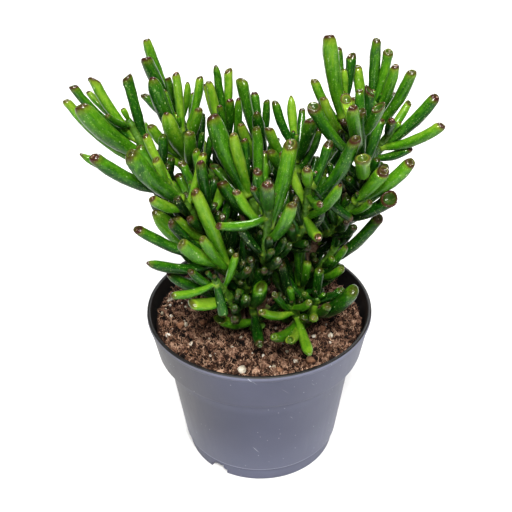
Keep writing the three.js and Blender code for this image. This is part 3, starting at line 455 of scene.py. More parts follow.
def leaves_along(spine, bare, sink, owner, draw):
    """Pairs of leaves down a bow from its top, with the bottom of it left bare."""
    long = np.linalg.norm(spine[1] - spine[0]) + np.linalg.norm(spine[2] - spine[1])
    leaves = []
    for pair in range(int((long - bare) / INNER_STEP)):
        t = 1 - (INNER_FIRST + pair * INNER_STEP) / long
        node, ahead = bow(*spine, t)
        side = unit(np.cross(ahead, (0.2, 1, 0.1)))
        front = np.cross(side, ahead)
        for half in range(2):
            turn = math.radians(40 * owner + 90 * pair + 180 * half + draw(-20, 20))
            outward = side * math.cos(turn) + front * math.sin(turn)
            lean = math.radians(draw(42, 66))
            length = draw(13, 26)
            heading = unit(ahead * math.cos(lean) + outward * math.sin(lean) + UP * 0.6)
            base = node + outward * sink
            middle = base + heading * length * KNEE
            bend = unit(heading + UP * draw(0.5, 1.1) + side * draw(-0.15, 0.15))
            end = middle + bend * length * (1 - KNEE)
            leaves.append(dict(base=base, middle=middle, end=end, radius=length * 0.05 + draw(0.85, 1.2),
                wide=draw(1, 1.15), flare=draw(0.85, 1.1), axis=ahead, owner=owner, ease=1.0, small=True))
    return leaves


# ---- Node trees ----
class Value:
    """A node's output with arithmetic. Numbers go through Math nodes, and vectors through Vector Math."""

    def __init__(self, nodes, socket):
        self.nodes = nodes
        self.socket = socket

    def out(self, name):
        return Value(self.nodes, next(s for s in self.socket.node.outputs if s.enabled and s.name == name))

    def math(self, operation, *others):
        return self.nodes.worked("ShaderNodeMath", operation, self, *others)

    def vector(self, operation, *others):
        return self.nodes.worked("ShaderNodeVectorMath", operation, self, *others)

    def __add__(self, other):
        return self.nodes.pair("ADD", self, other)

    def __radd__(self, other):
        return self.nodes.pair("ADD", other, self)

    def __sub__(self, other):
        return self.nodes.pair("SUBTRACT", self, other)

    def __rsub__(self, other):
        return self.nodes.pair("SUBTRACT", other, self)

    def __mul__(self, other):
        return self.nodes.pair("MULTIPLY", self, other)

    def __rmul__(self, other):
        return self.nodes.pair("MULTIPLY", other, self)

    def above(self, low, high):
        """0 below low and 1 above high, with a smooth step between."""
        return self.nodes.add("ShaderNodeMapRange", {"interpolation_type": "SMOOTHSTEP", "clamp": True},
            {"Value": self, "From Min": low, "From Max": high})

    def below(self, low, high):
        return 1 - self.above(low, high)

    def cross(self, other):
        return self.vector("CROSS_PRODUCT", other)

    def length_one(self):
        return self.vector("NORMALIZE")


class Nodes:
    """A node tree, and the one way that nodes are added to it."""

    def __init__(self, tree):
        self.tree = tree

    def add(self, kind, settings=None, inputs=None, out=None):
        node = self.tree.nodes.new(kind)
        for name, value in (settings or {}).items():
            if name == "stops":
                self.set_stops(node.color_ramp, value)
            else:
                setattr(node, name, value)
        for key, value in (inputs or {}).items():
            if isinstance(key, str):
                socket = next(s for s in node.inputs if s.enabled and s.name == key)
            else:
                socket = node.inputs[key]
            self.put(socket, value)
        shown = [s for s in node.outputs if s.enabled and (out is None or s.name == out)]
        return Value(self, shown[0]) if shown else node

    def worked(self, kind, operation, *values):
        return self.add(kind, {"operation": operation}, dict(enumerate(values)))

    def pair(self, operation, a, b):
        """Two values worked together, of which either may be a plain number or a plain vector."""
        vectors = [isinstance(v, tuple) or isinstance(v, Value) and v.socket.type == "VECTOR"
            for v in (a, b)]
        if not any(vectors):
            return self.worked("ShaderNodeMath", operation, a, b)
        if operation == "MULTIPLY" and not all(vectors):
            across, number = (a, b) if vectors[0] else (b, a)
            return self.add("ShaderNodeVectorMath", {"operation": "SCALE"}, {0: across, "Scale": number})
        return self.worked("ShaderNodeVectorMath", operation, a, b)

    def put(self, socket, value):
        for one in value if isinstance(value, list) else [value]:
            if isinstance(one, Value):
                self.tree.links.new(one.socket, socket)
            else:
                socket.default_value = one

    @staticmethod
    def set_stops(ramp, stops):
        while len(ramp.elements) < len(stops):
            ramp.elements.new(1)
        for element, (place, color) in zip(ramp.elements, stops):
            element.position = place
            element.color = (*color, 1)

    def ramp(self, value, *stops):
        return self.add("ShaderNodeValToRGB", {"stops": stops}, {"Fac": value})

    def blend(self, share, a, b):
        """Colour a where share is 0, and colour b where it is 1."""
        a, b = ((*c, 1) if isinstance(c, tuple) else c for c in (a, b))
        return self.add("ShaderNodeMix", {"data_type": "RGBA", "clamp_factor": True},
            {"Factor": share, "A": a, "B": b})

    def layered(self, body, *layers):
        """A body colour with others laid over it one by one, each as (share, colour)."""
        for share, color in layers:
            body = self.blend(share, body, color)
        return body

    def noise(self, place, scale, detail=2.0, rough=0.5):
        return self.add("ShaderNodeTexNoise", {}, {"Vector": place, "Scale": scale, "Detail": detail,
            "Roughness": rough})

    def cells(self, place, scale):
        """How far each place is from the middle of its cell."""
        return self.add("ShaderNodeTexVoronoi", {"feature": "F1"}, {"Vector": place, "Scale": scale},
            out="Distance")

    def combine(self, x, y, z):
        return self.add("ShaderNodeCombineXYZ", {}, {0: x, 1: y, 2: z})

    def separate(self, vector):
        split = self.add("ShaderNodeSeparateXYZ", {}, {0: vector})
        return split.out("X"), split.out("Y"), split.out("Z")


class Finish(Nodes):
    """A material's nodes, with what its patterns read."""

    def __init__(self, name):
        self.material = bpy.data.materials.new(name)
        self.material.use_nodes = True
        super().__init__(self.material.node_tree)
        self.tree.nodes.clear()

    def place(self):
        """The place on the object, in millimetres."""
        return self.add("ShaderNodeTexCoord", out="Object") * 1000.0

    def number(self, attribute):
        return self.add("ShaderNodeAttribute", {"attribute_name": attribute}, out="Fac")

    def vector(self, attribute):
        return self.add("ShaderNodeAttribute", {"attribute_name": attribute}, out="Vector")

    def bump(self, height, strength, distance, under=None):
        inputs = {"Height": height, "Strength": strength, "Distance": distance}
        if under is not None:
            inputs["Normal"] = under
        return self.add("ShaderNodeBump", {}, inputs)

    def shade(self, color, roughness, normal=None, **constants):
        inputs = {"Base Color": color, "Roughness": roughness}
        if normal is not None:
            inputs["Normal"] = normal
        inputs.update({name.replace("_", " "): value for name, value in constants.items()})
        shader = self.add("ShaderNodeBsdfPrincipled", {}, inputs)
        self.add("ShaderNodeOutputMaterial", {}, {"Surface": shader})
        return self.material


# ---- Finishes ----
LEAF_GREENS = ((0.0, (0.003, 0.019, 0.002)), (0.3, (0.010, 0.068, 0.003)),
    (0.62, (0.062, 0.192, 0.006)), (1.0, (0.225, 0.36, 0.030)))
ROOT_GREEN = (0.22, 0.33, 0.035)
DOT_GREEN = (0.30, 0.42, 0.12)
# Colour of the painted glint specks on the leaves.
PAINTED_GLINT_GREEN = (0.45, 0.55, 0.28)
HALO_BROWN = (0.19, 0.055, 0.012)
# Green inside the leaves' mouths, made darker partly as painted shade in the hollow.
DISH_GREEN_AND_SHADE = (0.022, 0.062, 0.008)
DISH_RED = (0.046, 0.009, 0.010)
# Colour of the painted pink glints inside the leaves' mouths.
PAINTED_GLINT_PINK = (0.50, 0.27, 0.25)
RIM_RED = (0.040, 0.005, 0.008)
BARK_BROWNS = ((0.26, (0.045, 0.028, 0.018)), (0.44, (0.17, 0.095, 0.055)), (0.58, (0.33, 0.24, 0.17)),
    (0.74, (0.46, 0.40, 0.32)))
SCAR_BROWN = (0.07, 0.04, 0.025)
STALK_GREENS = ((0.3, (0.022, 0.075, 0.006)), (0.5, (0.06, 0.145, 0.012)), (0.72, (0.15, 0.24, 0.04)))
POT_BLUES = ((0.25, (0.046, 0.049, 0.080)), (0.5, (0.055, 0.059, 0.095)), (0.75, (0.067, 0.071, 0.112)))
# Colour of the painted shade on the pot's left side.
PAINTED_SHADE_GREY = (0.046, 0.043, 0.045)
# Colour of the painted light on the pot's right side and lower part.
PAINTED_LIGHT_BLUE = (0.135, 0.145, 0.205)
# Colour of the painted light under the pot's band.
PAINTED_FILL_BLUE = (0.145, 0.155, 0.232)
SCRATCH_GREY = (0.52, 0.54, 0.58)
DUST_GREY = (0.42, 0.44, 0.48)
# Colour of the painted highlights on the pot's step and lip.
PAINTED_HIGHLIGHT_BLUE = (0.32, 0.33, 0.41)
SOOT_GREY = (0.06, 0.055, 0.055)
LINING_BLACKS = ((0.35, (0.006, 0.006, 0.007)), (0.7, (0.022, 0.020, 0.019)))


def leaf_skin():
    """Glossy water-filled skin: pale at the root, dotted green with painted glints as pale specks, with a
    dark red rim round the mouth, painted pink glints and partly painted shade inside the mouth, and painted
    shade on the undersides.
    """
    f = Finish("leaf_skin")
    along, tone, blush, under = (f.number(key) for key in ("along", "tone", "blush", "under"))
    grain = f.vector("grain")
    streak = f.noise(grain * (0.5, 0.5, 0.06), 1.0, 3.0, 0.6)
    cloud = f.noise(grain * (0.16, 0.16, 0.07), 1.0)
    mottle = f.noise(grain * (0.7, 0.7, 0.4), 1.0, 2.0, 0.6)
    # Painted shade: the colour darkens where the leaf's surface faces down (under), in place of the shade
    # on the undersides.
    shade = tone * 1.05 + along.above(0.3, 1.0) * 0.1 + 0.1 - under * 0.5
    shade = shade + (streak - 0.5) * 0.4 + (cloud - 0.5) * 0.45 + (mottle - 0.5) * 0.5
    root = along.below(0.02, 0.15)
    dot = f.cells(grain * (1.0, 1.0, 0.8), 1.15).below(0.12, 0.30)
    # Painted glints: sparse pale specks laid over the leaf's colour.
    painted_glint_specks = f.cells(grain * (1.0, 1.0, 0.6), 0.42).below(0.08, 0.17)
    painted_glint_specks = painted_glint_specks * f.noise(grain, 0.09, 1.0).above(0.42, 0.6)
    edge = along + (f.noise(grain, 0.9, 2.0) - 0.5) * 0.03
    halo = edge.above(0.91, 0.97) * edge.below(1.05, 1.3)
    # The mouth's inside takes its own green or red. The green is darkened partly as painted shade in the
    # hollow.
    dish = edge.above(1.06, 1.22)
    # Painted glints: small pink patches inside the mouth where it is stained.
    patch = f.noise(grain, 0.8, 1.0).above(0.58, 0.68)
    stain = f.number("stain") * blush
    rim = edge.above(0.952, 0.982) * edge.below(1.05, 1.16)
    body = f.layered(f.ramp(shade, *LEAF_GREENS), (root * 0.65, ROOT_GREEN), (dot * 0.42, DOT_GREEN),
        (painted_glint_specks * 0.6, PAINTED_GLINT_GREEN), (halo * blush * 0.25, HALO_BROWN),
        (dish * (0.75 + 0.22 * stain), f.blend(stain, DISH_GREEN_AND_SHADE, DISH_RED)),
        (dish * patch * stain * 0.8, PAINTED_GLINT_PINK), (rim * (0.25 + 0.70 * blush), RIM_RED))
    roughness = 0.26 + 0.18 * cloud + 0.08 * dot
    pores = f.bump(dot, 0.18, 0.00012)
    normal = f.bump(streak, 0.4, 0.0005, pores)
    return f.shade(body, roughness, normal, Coat_Weight=0.64 - under * 0.58, Coat_Roughness=0.05,
        Specular_IOR_Level=0.14, Subsurface_Weight=0.03, Subsurface_Radius=(0.5, 1.0, 0.12),
        Subsurface_Scale=0.0012)


def bark_skin():
    """Stem bark that goes from corky brown at the soil to green under the leaves."""
    f = Finish("bark_skin")
    green, run = f.number("green"), f.number("run")
    place = f.place()
    patch = f.noise(place, 0.16, 4.0, 0.6)
    fleck = f.noise(place, 1.1, 3.0, 0.65)
    corky = f.ramp(patch + (fleck - 0.5) * 0.6, *BARK_BROWNS)
    scars = f.add("ShaderNodeTexWave", {"wave_type": "BANDS", "bands_direction": "Z"},
        {"Vector": f.combine(0.0, 0.0, run + (fleck - 0.5) * 1.2), "Scale": 0.052, "Detail": 1.0})
    scar = scars.above(0.86, 0.97)
    corky = f.blend(scar * 0.55, corky, SCAR_BROWN)
    sappy = f.ramp(fleck * 0.5 + patch * 0.5, *STALK_GREENS)
    turning = (green + (patch - 0.5) * 0.9).above(0.35, 0.68)
    body = f.blend(turning, corky, sappy)
    normal = f.bump(fleck + scar * 0.8, 0.5, 0.0005)
    return f.shade(body, 0.78 - 0.34 * turning, normal, Specular_IOR_Level=0.4)


def pot_skin():
    """Blue-grey injection-moulded plastic, satin, a little scuffed and dusty, with painted shade on the
    left, painted light on the right, low down and under the band, and painted highlights along the step and
    lip.
    """
    f = Finish("pot_plastic")
    place = f.place()
    x, y, z = f.separate(place)
    cloud = f.noise(place, 0.022, 3.0)
    flow = f.noise(place * (1.0, 1.0, 0.12), 0.35, 3.0, 0.6)
    fine = f.noise(place, 2.2, 2.0, 0.6)
    # Painted shade: the pot's left side darker.
    painted_shade_left = x.below(-52.0, -8.0)
    # Painted light: the pot's right side and its lower half lighter.
    painted_light_right_and_foot = x.above(5.0, 52.0) * 0.46 + z.below(2.0, 45.0) * 0.5
    # Painted light: a lighter strip just under the band, filling the shadow that the band casts.
    painted_fill_under_band = z.above(BAND_LOW_Z - 12.0, BAND_LOW_Z - 1.0) * z.below(BAND_LOW_Z - 0.2, BAND_LOW_Z + 0.4)
    turn = y.math("ARCTAN2", x)
    around = f.combine(turn * 50.0, z, 0.0)
    tilt = f.add("ShaderNodeMapping", {"vector_type": "POINT"}, {"Vector": around, "Rotation": (0, 0, 0.9)})
    sparse = f.noise(around, 0.065, 1.0).above(0.56, 0.68)
    scratch = f.noise(tilt * (0.045, 1.5, 1.0), 1.0, 1.0).above(0.70, 0.73) * sparse
    dust = f.cells(place, 0.22).below(0.05, 0.085)
    # Painted highlights: lighter lines along the step above the foot and round the lip.
    edge = z.above(STEP_Z - 0.9, STEP_Z - 0.1) * z.below(STEP_Z + 0.1, STEP_Z + 1.1)
    lip = z.above(POT_HEIGHT - 2.4, POT_HEIGHT - 1.2)
    soot = z.below(0.0, 5.0) * fine.above(0.45, 0.75)
    body = f.layered(f.ramp(cloud + (flow - 0.5) * 0.25, *POT_BLUES), (painted_shade_left * 0.85, PAINTED_SHADE_GREY),
        (painted_light_right_and_foot, PAINTED_LIGHT_BLUE), (painted_fill_under_band * 0.45, PAINTED_FILL_BLUE), (scratch * 0.55, SCRATCH_GREY),
        (dust * 0.4, DUST_GREY), (edge * 0.65 + lip * 0.2, PAINTED_HIGHLIGHT_BLUE), (soot * 0.4, SOOT_GREY))
    roughness = 0.42 + 0.14 * flow + 0.1 * scratch
    normal = f.bump(fine * 0.4 + flow + scratch * 0.7, 0.06, 0.0004)
    return f.shade(body, roughness, normal, Specular_IOR_Level=0.42)


def pot_lining():
    """The pot's black inner layer."""
    f = Finish("pot_lining")
    place = f.place()
    fine = f.noise(place, 0.6, 3.0, 0.6)
    body = f.ramp(fine, *LINING_BLACKS)
    return f.shade(body, 0.4 + 0.3 * fine, f.bump(fine, 0.2, 0.0004))


def soil_skin(name, stops, grit=1.4, roughness=0.9):
    """Anything crumbly in the soil: its colour wanders between the stops, by grain and by piece."""
    f = Finish(name)
    place = f.place()
    coarse = f.noise(place, 0.24, 3.0, 0.6)
    fine = f.noise(place, grit, 4.0, 0.7)
    mixed = 0.55 * f.number("tone") + (fine - 0.5) * 0.9 + (coarse - 0.5) * 1.4 + 0.22
    return f.shade(f.ramp(mixed, *stops), roughness, f.bump(fine, 0.7, 0.0006), Specular_IOR_Level=0.25)


# ---- Meshes ----
def linked(name, data):
    """A new object in the scene."""
    obj = bpy.data.objects.new(name, data)
    bpy.context.scene.collection.objects.link(obj)
    return obj


def give(mesh, key, values, kind="FLOAT"):
    """Stores a value on each point of a mesh."""
    field = "vector" if kind == "FLOAT_VECTOR" else "value"
    mesh.attributes.new(key, kind, "POINT").data.foreach_set(field, np.asarray(values).ravel())


def mesh_object(name, points, faces=(), edges=(), numbers=None, vectors=None):
    """An object from points in millimetres, with point attributes."""
    mesh = bpy.data.meshes.new(name)
    mesh.from_pydata(np.asarray(points, float) * MM, edges, faces)
    for key, values in (numbers or {}).items():
        give(mesh, key, values, "INT" if np.asarray(values).dtype.kind == "i" else "FLOAT")
    for key, values in (vectors or {}).items():
        give(mesh, key, values, "FLOAT_VECTOR")
    return linked(name, mesh)


def discard(*objects):
    for obj in objects:
        bpy.data.objects.remove(obj)


def settled(obj):
    """obj with its modifiers worked into its mesh."""
    depsgraph = bpy.context.evaluated_depsgraph_get()
    obj.data = bpy.data.meshes.new_from_object(obj.evaluated_get(depsgraph), depsgraph=depsgraph)
    obj.modifiers.clear()
    obj.data.name = obj.name
    return obj


def grown(obj, tree, **inputs):
    """obj with its mesh replaced by what the tree makes of it."""
    modifier = obj.modifiers.new(tree.name, "NODES")
    modifier.node_group = tree
    for item in tree.interface.items_tree:
        if item.in_out == "INPUT" and item.name in inputs:
            modifier[item.identifier] = inputs[item.name]
    return settled(obj)


def new_tree(name, *inputs):
    """A Geometry Nodes tree with named inputs, and its nodes and the group's input."""
    tree = bpy.data.node_groups.new(name, "GeometryNodeTree")
    tree.interface.new_socket("Geometry", in_out="INPUT", socket_type="NodeSocketGeometry")
    for label, kind, *usual in inputs:
        socket = tree.interface.new_socket(label, in_out="INPUT", socket_type="NodeSocket" + kind)
        if usual:
            socket.default_value = usual[0]
    tree.interface.new_socket("Geometry", in_out="OUTPUT", socket_type="NodeSocketGeometry")
    nodes = Nodes(tree)
    return tree, nodes, nodes.add("NodeGroupInput")


def named(nodes, attribute, kind="FLOAT"):
    return nodes.add("GeometryNodeInputNamedAttribute", {"data_type": kind}, {"Name": attribute})


def stored(nodes, geometry, attribute, value, kind="FLOAT"):
    return nodes.add("GeometryNodeStoreNamedAttribute", {"data_type": kind, "domain": "POINT"},
        {"Geometry": geometry, "Name": attribute, "Value": value})


# ---- One leaf, straight and one unit thick, for each form of mouth ----
LEAF_SIDES = 16
SMALL_SIDES = 8
UPPER_FLAT = 0.08
BODY = ((0.0, 0.78), (0.03, 0.68), (0.08, 0.65), (0.16, 0.71), (0.26, 0.80), (0.38, 0.89), (0.5, 0.96),
    (0.6, 1.0), (0.7, 1.01), (0.8, 1.0))
# Each form: rings towards and round the mouth as (t, radius, ahead, width across, tilt, along), then the
# bottom of the mouth as (ahead, along), then how red the mouth is inside, and how far its outer lip curls
# in. ahead is in leaf radii, and along is 1 on the rim and 2 at the bottom.
MOUTHS = {
    "cap": (((0.87, 0.955, 0, 1, 0.04, 0.88), (0.93, 0.885, -0.08, 1, 0.1, 0.935),
        (1, 0.82, -0.62, 1, 0.18, 0.955), (1, 0.71, -0.34, 1, 0.26, 0.972), (1, 0.57, -0.1, 1, 0.32, 0.99),
        (1, 0.44, -0.02, 1, 0.34, 1.02), (1, 0.33, -0.06, 1, 0.32, 1.1), (1, 0.17, -0.15, 1, 0.2, 1.3)),
        (-0.18, 1.5), 1.0, 0.1),
    "disc": (((0.87, 0.96, 0, 1, 0.1, 0.88), (0.94, 0.90, -0.08, 1, 0.2, 0.94),
        (1, 0.85, -0.52, 1, 0.35, 0.962), (1, 0.75, -0.24, 1, 0.46, 0.98), (1, 0.63, -0.05, 1, 0.5, 1.0),
        (1, 0.53, -0.03, 1, 0.5, 1.05), (1, 0.40, -0.13, 1, 0.45, 1.2), (1, 0.21, -0.22, 1, 0.3, 1.55)),
        (-0.25, 2.0), 0.9, 0.2),
    "trumpet": (((0.86, 0.94, 0, 1.02, 0.1, 0.86), (0.93, 0.96, 0, 1.06, 0.2, 0.93),
        (0.98, 0.93, -0.2, 1.1, 0.35, 0.965), (1, 0.84, -0.16, 1.1, 0.42, 0.985),
        (1, 0.72, 0.0, 1.08, 0.45, 1.01), (1, 0.6, -0.04, 1.06, 0.45, 1.12),
        (1, 0.44, -0.28, 1.05, 0.4, 1.35), (1, 0.24, -0.44, 1.02, 0.3, 1.65)), (-0.5, 2.0), 0.45, 0.3),
    "spoon": (((0.82, 0.98, 0, 1, 0.3, 0.84), (0.89, 0.96, 0.03, 1.03, 0.6, 0.93),
        (0.935, 0.92, -0.04, 1.05, 0.85, 0.975), (0.945, 0.84, 0.0, 1.05, 0.98, 1.0),
        (0.945, 0.74, -0.04, 1.05, 1.0, 1.06), (0.935, 0.57, -0.28, 1.03, 0.95, 1.2),
        (0.92, 0.40, -0.5, 1, 0.8, 1.45), (0.91, 0.2, -0.6, 1, 0.6, 1.7)), (-0.62, 2.0), 0.2, 0.5),
    "point": (((0.86, 0.93, 0, 1, 0, 0.86), (0.91, 0.82, 0, 1, 0.05, 0.91), (0.95, 0.66, 0, 1, 0.1, 0.945),
        (0.98, 0.46, -0.02, 1, 0.15, 0.965), (1, 0.3, -0.05, 1, 0.2, 0.985), (1, 0.14, 0.03, 1, 0.2, 1.0)),
        (0.05, 1.0), 1.0, 0.0),
    "paddle": (((0.87, 0.98, 0, 1.04, 0.1, 0.87), (0.93, 0.92, 0, 1.06, 0.15, 0.93),
        (0.97, 0.81, 0, 1.06, 0.2, 0.955), (1, 0.66, -0.25, 1.05, 0.25, 0.966),
        (1, 0.45, -0.02, 1.03, 0.25, 0.976), (1, 0.22, 0.1, 1, 0.2, 0.986)), (0.13, 0.99), 0.5, 0.0),
    "small": (((0.93, 0.9, -0.05, 1, 0.1, 0.93), (1, 0.76, -0.4, 1, 0.2, 0.965),
        (1, 0.5, -0.04, 1, 0.3, 1.0), (1, 0.28, -0.08, 1, 0.3, 1.15)), (-0.14, 1.4), 0.9, 0.0),
}
MOUTH_NUMBER = {name: number for number, name in enumerate(MOUTHS)}


def leaf_pattern(name, mouth):
    rings, (deep, deepest), stain, curl = mouth
    sides, body = (SMALL_SIDES, BODY[::3]) if name == "small" else (LEAF_SIDES, BODY)
    rows = [(t, radius, 0, 1, 0, t) for t, radius in body] + list(rings)
    turn = 2 * math.pi * np.arange(sides) / sides
    points, ahead, along = [], [], []
    for t, radius, forward, across, tilt, where in rows:
        flat = 1 - UPPER_FLAT * np.maximum(0, np.sin(turn)) * (t < 0.9)
        lip = forward - tilt * radius * np.sin(turn)
        x, y = radius * across * np.cos(turn), radius * flat * np.sin(turn) + curl * np.maximum(0, lip) ** 2
        points.append(np.column_stack((x, y, np.full(sides, t))))
        ahead.append(lip)
        along.append(np.full(sides, where))
    points = np.concatenate(points + [[(0, 0, 0), (0, 0, rows[-1][0])]])
    ahead = np.concatenate(ahead + [[0, deep]])
    along = np.concatenate(along + [[0, deepest]])
    root, bottom = len(points) - 2, len(points) - 1
    top = (len(rows) - 1) * sides
    faces = []
    for i in range(sides):
        j = (i + 1) % sides
        faces += [(a + i, a + j, a + sides + j, a + sides + i) for a in range(0, top, sides)]
        faces += [(root, j, i), (bottom, top + i, top + j)]
    stain = np.full(len(points), stain)
    return mesh_object(name, points / MM, faces, numbers=dict(ahead=ahead, along=along, stain=stain))


def leafy_shoot_tree():
    """Bends a straight leaf along the bow of each loose point, and sweeps the stalk along the edges."""
    tree, g, given = new_tree("leafy_shoot", ("Stalk sides", "Int", 14), ("Ripple", "Float", 0.00026),
        ("Stalk skin", "Material"), ("Leaf skin", "Material"), *((name, "Object") for name in MOUTHS))
    leaves = bent_leaves(g, straight_leaves(g, given), given.out("Ripple"))
    stalk = swept(g, given.out("Geometry"), given.out("Stalk sides"), 0.35, given.out("Ripple"))
    parts = [skinned(g, leaves, given.out("Leaf skin")), skinned(g, stalk, given.out("Stalk skin"))]
    both = g.add("GeometryNodeJoinGeometry", {}, {"Geometry": parts})
    g.add("NodeGroupOutput", {}, {"Geometry": smooth(g, both)})
    return tree


def straight_leaves(g, given):
    """The straight leaf of each loose point's form, all still at the origin."""
    mouth = named(g, "mouth", "INT")
    leaves = []
    for name, number in MOUTH_NUMBER.items():
        chosen = g.add("FunctionNodeCompare", {"data_type": "INT", "operation": "EQUAL"},
            {"A": mouth, "B": number})
        pattern = g.add("GeometryNodeObjectInfo", {}, {"Object": given.out(name)}, out="Geometry")
        leaves.append(g.add("GeometryNodeInstanceOnPoints", {}, {"Points": given.out("Geometry"),
            "Selection": chosen, "Instance": pattern}))
    return made_real(g, leaves)


def bent_leaves(g, leaves, ripple):
    x, y, t = g.separate(g.add("GeometryNodeInputPosition"))
    base, middle, end, axis = (named(g, key, "FLOAT_VECTOR") for key in ("base", "middle", "end", "axis"))
    size, wide, flare = (named(g, key) for key in ("size", "wide", "flare"))
    back = 1 - t
    at = base * (back * back) + middle * (2 * t * back) + end * (t * t)
    ahead = ((middle - base) * back + (end - middle) * t).length_one()
    across = axis.cross(ahead).length_one()
    inward = ahead.cross(across).length_one()
    radius = size * (1 + (flare - 1) * 0.5 * t.above(0.72, 1.0))
    spread = 1 + (wide - 1) * t.above(0.0, 0.45)
    forward = named(g, "ahead") * radius
    bent = at + across * (x * radius * spread) + inward * (y * radius) + ahead * forward
    grain = g.combine(x * size * 1000.0, y * size * 1000.0, t * named(g, "length") * 1000.0)
    leaves = stored(g, leaves, "grain", grain + named(g, "shift", "FLOAT_VECTOR"), "FLOAT_VECTOR")
    leaves = g.add("GeometryNodeSetPosition", {}, {"Geometry": leaves, "Position": bent})
    lump = g.noise(named(g, "grain", "FLOAT_VECTOR") * (0.22, 0.22, 0.16), 1.0, 1.0)
    leaves = swollen(g, leaves, (lump - 0.5) * ripple * 4.0 * named(g, "along").above(0.02, 0.2))
    # How far each point faces down. The leaf skin uses it for painted shade on the undersides and for a
    # thinner coat there.
    _, _, up = g.separate(g.add("GeometryNodeInputNormal", out="Normal"))
    return stored(g, leaves, "under", 0.5 - 0.5 * up)


def swollen(g, surface, swell):
    normal = g.add("GeometryNodeInputNormal", out="Normal")
    return g.add("GeometryNodeSetPosition", {}, {"Geometry": surface, "Offset": normal * swell})


def skinned(g, surface, skin):
    return g.add("GeometryNodeSetMaterial", {}, {"Geometry": surface, "Material": skin})


def smooth(g, surface):
    return g.add("GeometryNodeSetShadeSmooth", {}, {"Geometry": surface, "Shade Smooth": True})


def made_real(g, copies):
    """The copies of several patterns as one real mesh."""
    joined = g.add("GeometryNodeJoinGeometry", {}, {"Geometry": copies})
    return g.add("GeometryNodeRealizeInstances", {}, {"Geometry": joined})


def swept(g, rows, sides, scale, ripple):
    """A round tube along the edges, as thick as their points say, with a rippled surface."""
    curve = g.add("GeometryNodeMeshToCurve", {}, {"Mesh": rows})
    section = g.add("GeometryNodeCurvePrimitiveCircle", {"mode": "RADIUS"},
        {"Resolution": sides, "Radius": 1.0})
    sweep = g.add("GeometryNodeCurveToMesh", {},
        {"Curve": curve, "Profile Curve": section, "Scale": named(g, "thick"), "Fill Caps": True})
    lump = g.noise(g.add("GeometryNodeInputPosition") * 1000.0, scale)
    return swollen(g, sweep, (lump - 0.5) * ripple * 4.0)


def woody_stem_tree():
    tree, g, given = new_tree("woody_stem", ("Sides", "Int", 18), ("Ripple", "Float", 0.0003),
        ("Bark", "Material"))
    stem = swept(g, given.out("Geometry"), given.out("Sides"), 0.3, given.out("Ripple"))
    g.add("NodeGroupOutput", {}, {"Geometry": smooth(g, skinned(g, stem, given.out("Bark")))})
    return tree


# ---- Rows of points that the trees sweep ----
DOME = np.array((0.35, 0.65, 0.88, 0.98))
STEM_RINGS = 60
TWIG_RINGS = 30
STALK_RINGS = 40
GREEN_ABOVE = 118
PADDLES_BELOW = 138
# Painted shade: how much darker the inner leaves' tone is.
INNER_PAINTED_SHADE = 0.33


def tube_rows(points, radii, steps, green, swells=(), domed=True):
    """Centre line, thickness, greenness and run of a tube. Swells are (share, how much, length in mm)."""
    t = np.linspace(0, 1, steps + 1)
    at, ahead = bow(*points, t)
    run = np.concatenate([[0], np.cumsum(np.linalg.norm(np.diff(at, axis=0), axis=1))])
    thick = radii[0] + (radii[1] - radii[0]) * t
    for share, much, long in swells:
        thick = thick * (1 + much * np.exp(-(((run - share * run[-1]) / long) ** 2)))
    if domed:
        rise = DOME * thick[-1] * 0.6
        at = np.vstack([at, at[-1] + ahead[-1] * rise[:, None]])
        run = np.concatenate([run, run[-1] + rise])
        thick = np.concatenate([thick, thick[-1] * np.sqrt(1 - DOME**2)])
        t = np.concatenate([t, np.ones(len(DOME))])
    return at, thick, green[0] + (green[1] - green[0]) * t, run


def joined_rows(rows):
    """Several tubes' rows as one set of points, edges and attributes."""
    points = np.vstack([row[0] for row in rows])
    edges, start = [], 0
    for row in rows:
        edges += [(start + i, start + i + 1) for i in range(len(row[0]) - 1)]
        start += len(row[0])
    thick, green, run = (np.concatenate([row[k] for row in rows]) for k in (1, 2, 3))
    return points, edges, dict(thick=thick * MM, green=green, run=run)


def woody_stem(name, stem, shoots, tree, bark):
    draw = seeded(SEED + 7 * STEM_NUMBER[name])
    swells = [(draw(0.05, 0.95), draw(0.05, 0.16), draw(0.8, 1.6)) for _ in range(14)]
    rows = [tube_rows(spine_of(stem), stem["radii"], STEM_RINGS, (-0.2, 0.5), swells)]
    for s in shoots:
        if s["stem"] != name:
            continue
        rings = [(draw(0.25, 0.95), draw(0.06, 0.14), draw(0.6, 1.0)) for _ in range(4)]
        green = (0.35, 1.0) if s["collar"][2] > GREEN_ABOVE else (0.5, 1.1)
        rows.append(tube_rows((s["fork"], s["middle"], s["collar"]), (TWIG_RADIUS, SHOOT_RADIUS),
            TWIG_RINGS, green, [(0.0, 0.35, 3.0)] + rings, domed=False))
    points, edges, numbers = joined_rows(rows)
    return grown(mesh_object(f"bark_{name}", points, edges=edges, numbers=numbers), tree, Bark=bark)


def mouth_of(leaf, draw):
    pick = draw()
    if leaf.get("small"):
        return "small"
    if leaf["wide"] >= 1.4:
        return "paddle"
    if leaf["flare"] >= 1.5:
        return "spoon"
    if leaf["flare"] >= 1.2:
        return "spoon" if pick < 0.2 else "trumpet" if pick < 0.6 else "disc"
    if leaf["flare"] <= 0.82:
        return "point"
    if leaf["end"][2] < PADDLES_BELOW and pick < 0.5:
        return "paddle"
    return "cap" if pick < 0.76 else "disc" if pick < 0.93 else "spoon" if pick < 0.95 else "point"


